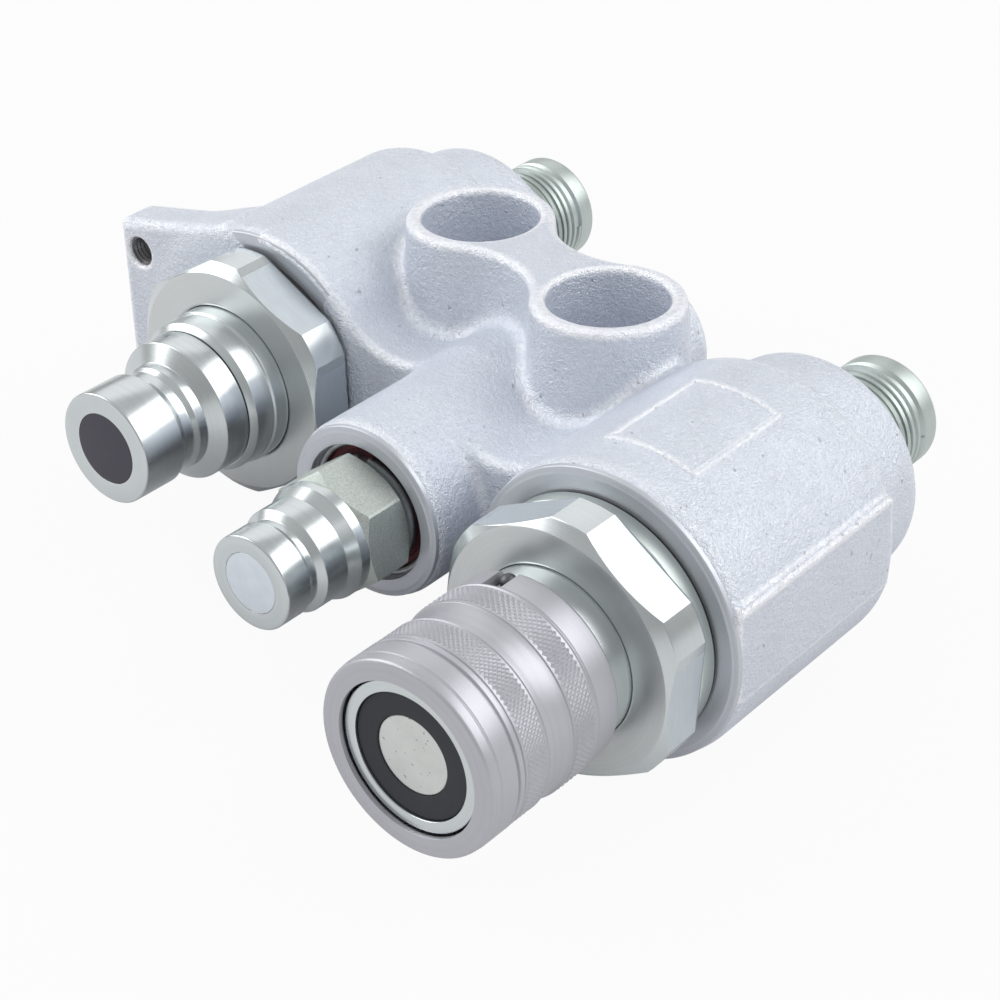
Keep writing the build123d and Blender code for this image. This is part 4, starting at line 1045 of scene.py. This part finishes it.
# Hose fittings
FITTING_HEX = (13.0, 14.5, math.radians(20))
threads = helix_pattern("thread", male["fitting"])
for name, x, boss_rear, coat, node in (
    ("male_hose_end", MALE_X, MALE_BOSS_REAR, male, "male_side_hose_fitting"),
    ("female_hose_end", FEMALE_X, FEMALE_BOSS_REAR, female, "female_side_hose_fitting"),
):
    end = boss_rear + 24.8
    thread_root, thread_front = 11.7, end - 14.0
    turned(
        name, x,
        [
            (10.4, boss_rear - 15), (10.4, boss_rear + 1), (10.9, boss_rear + 1),
            (10.9, end - 17.5, 0.3), (12.3, end - 16.4, 0.2), (12.3, end - 14.6, 0.1),
            (thread_root, thread_front, 0.1), (thread_root, end - 5.0, 0.1), (12.4, end - 4.4, 0.2),
            (12.4, end, 0.8), (10.9, end, 0.1), (10.9, end - 1.2), (9.1, end - 1.2), (9.1, end, 0.1),
            (7.6, end, 0.4), (7.6, boss_rear - 15),
        ],
        [coat["fitting"]], "block", [node],
    )

    def fitting_hexagon(angle, start=boss_rear):
        reach = hexagon_reach(angle, *FITTING_HEX)
        return [
            (10.0, start + 0.05), (reach - 0.3, start + 0.05), (reach, start + 0.35),
            (reach, start + 5.3), (reach - 0.4, start + 5.65), (10.0, start + 5.7),
        ]

    mesh = turned_mesh(x, fitting_hexagon, hexagon_angles(*FITTING_HEX), False)
    finish_mesh(name + "_hexagon", mesh, [coat["fitting"]], "block", [], 12)
    mesh = wind(name + "_thread", threads, x, thread_root, thread_front, 1.8, 5, 0.74)
    finish_mesh(name + "_thread", mesh, [coat["fitting"]], "block", [], 40)

# Coil springs: the port, the coil's radius, the wire's radius, both ends, the turns, the body,
# the joint and its travel
coil = helix_pattern("coil", steel)
for name, x, radius, wire, front, rear, turns, body, joint, travel in (
    ("male_return_spring", MALE_X, 17.4, 1.2, 69.85, 92.24, 5, "block", "male_push", 2.5),
    ("female_return_spring", FEMALE_X, 17.4, 1.2, 33.35, 55.74, 5, "block", "female_push", 2.5),
    (
        "male_valve_spring", MALE_X, 5.4, 0.7, 6.36, 38.90, 5,
        "male_cartridge", "male_valve_open", 18.0,
    ),
    ("drain_valve_spring", DRAIN_X, 4.2, 0.6, -12.98, 43.50, 9, "block", "drain_valve_open", 11.0),
    (
        "seal_sleeve_spring", FEMALE_X, 9.1, 0.65, -32.25, 2.89, 7,
        "female_cartridge", "seal_sleeve_open", 18.0,
    ),
    (
        "locking_sleeve_spring", FEMALE_X, 16.55, 0.6, -26.24, -10.10, 5,
        "female_cartridge", "sleeve_pull", 2.5,
    ),
):
    length = rear - front
    pitch = (length - 2 * wire) / turns
    mesh = wind(name + "_coil", coil, x, radius, front + wire, pitch, turns, wire)
    piece = finish_mesh(name + "_coil", mesh, [steel], body, [name], 60)
    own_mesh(piece)

# The CAD nodes that stay in sight are plain steel, apart from these
NODE_FINISHES = {
    "sleeve_stop_ball": dark_steel, "drain_seal_ring": red_rubber, "nut_seal_rings": black_rubber,
    "fitting_seal_rings": black_rubber, "male_cartridge_seal": black_rubber,
    "female_cartridge_seal": black_rubber,
}
for name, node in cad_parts.items():
    if node.hide_render:
        continue
    node.data.materials.clear()
    node.data.materials.append(NODE_FINISHES.get(name, steel))


# Floor, light and camera

# The object's middle, in metres
CENTRE = (0.058, 0.045, 0.0)


def floor_material():
    """White to the camera, with the object's soft shadow kept."""
    f = Finish("pale_floor", (0.40, 0.40, 0.41), 0.9)
    camera_ray, glossy_ray, clear_ray = f.rays()
    # In metal the floor is painted dark below the object and pale further out: a painted shadow, seen
    # only in reflections
    east, north = f.place.part("X") - CENTRE[0], f.place.part("Y") - CENTRE[1]
    unshaded_floor = ((east * east + north * north) ** 0.5).step(0.045, 0.125)
    seen = (0.94 * camera_ray + 0.62 * glossy_ray * unshaded_floor + 0.94 * clear_ray).clamp()
    white = f.node("ShaderNodeEmission", {}, {"Color": (1, 1, 1, 1)})
    lit = Value(f, f.shader.outputs[0])
    mixed = f.node("ShaderNodeMixShader", {}, {0: seen, 1: lit, 2: white})
    f.tree.links.new(mixed.socket, f.tree.nodes["Material Output"].inputs["Surface"])
    return f.material


floor_height = -30.6 * MM
side = 6.0
plane = bpy.data.meshes.new("floor")
corners = ((-side, -side), (side, -side), (side, side), (-side, side))
plane.from_pydata([(x, y, floor_height) for x, y in corners], [], [(0, 1, 2, 3)])
floor = bpy.data.objects.new("floor", plane)
bpy.context.scene.collection.objects.link(floor)
plane.materials.append(floor_material())


def lamp(name, spot, width, height, watts):
    """A soft box at `spot` that faces the object, in metres."""
    data = bpy.data.lights.new(name, "AREA")
    data.shape = "RECTANGLE"
    data.size, data.size_y = width, height
    data.energy = watts
    box = bpy.data.objects.new(name, data)
    bpy.context.scene.collection.objects.link(box)
    box.location = spot
    box.rotation_mode = "QUATERNION"
    box.rotation_quaternion = (Vector(CENTRE) - Vector(spot)).to_track_quat("-Z", "Y")


lamp("right_softbox", (1.18, 0.92, 1.10), 2.1, 1.3, 17.0)
lamp("left_softbox", (-1.33, -0.50, 0.98), 1.5, 1.4, 15.0)
lamp("back_softbox", (-0.90, 1.15, 1.03), 1.2, 1.2, 2.5)

# The room: white to the camera, and dimmer in metal so that the softboxes show there
world = bpy.data.worlds.new("studio")
bpy.context.scene.world = world
world.use_nodes = True
room = Graph(world.node_tree)
room.tree.nodes.clear()
camera_ray, glossy_ray, clear_ray = room.rays()
height = room.node("ShaderNodeTexCoord", output="Generated").part("Z")
in_metal = room.node(
    "ShaderNodeMapRange",
    {},
    {"Value": height, "From Min": 0.05, "From Max": 0.70, "To Min": 0.40, "To Max": 0.58},
)
ambient = 0.95
lighting = room.node("ShaderNodeMix", {}, {0: glossy_ray, 2: ambient, 3: in_metal})
plain = camera_ray.math("MAXIMUM", clear_ray)
strength = room.node("ShaderNodeMix", {}, {0: plain, 2: lighting, 3: 1.0})
backdrop = room.node("ShaderNodeBackground", {}, {"Color": (1, 1, 1, 1), "Strength": strength})
out = room.tree.nodes.new("ShaderNodeOutputWorld")
room.tree.links.new(backdrop.socket, out.inputs["Surface"])

# The camera stands where the photograph's perspective puts it
lens = bpy.data.cameras.new("camera")
lens.sensor_width = 36.0
focal_pixels, image_pixels = 2480.46, 1000
lens.lens = lens.sensor_width * focal_pixels / image_pixels
lens.clip_start, lens.clip_end = 0.01, 50
camera = bpy.data.objects.new("camera", lens)
bpy.context.scene.collection.objects.link(camera)
right = Vector((0.7726214, 0.6345395, -0.0203911))
up = Vector((-0.3178713, 0.4144467, 0.8527554))
back = Vector((0.5495580, -0.6523754, 0.5219122))
turn = Matrix((right, up, back)).transposed().to_4x4()
camera.matrix_world = Matrix.Translation((0.34334, -0.28318, 0.25339)) @ turn
bpy.context.scene.camera = camera
bpy.context.scene.view_settings.view_transform = "Standard"
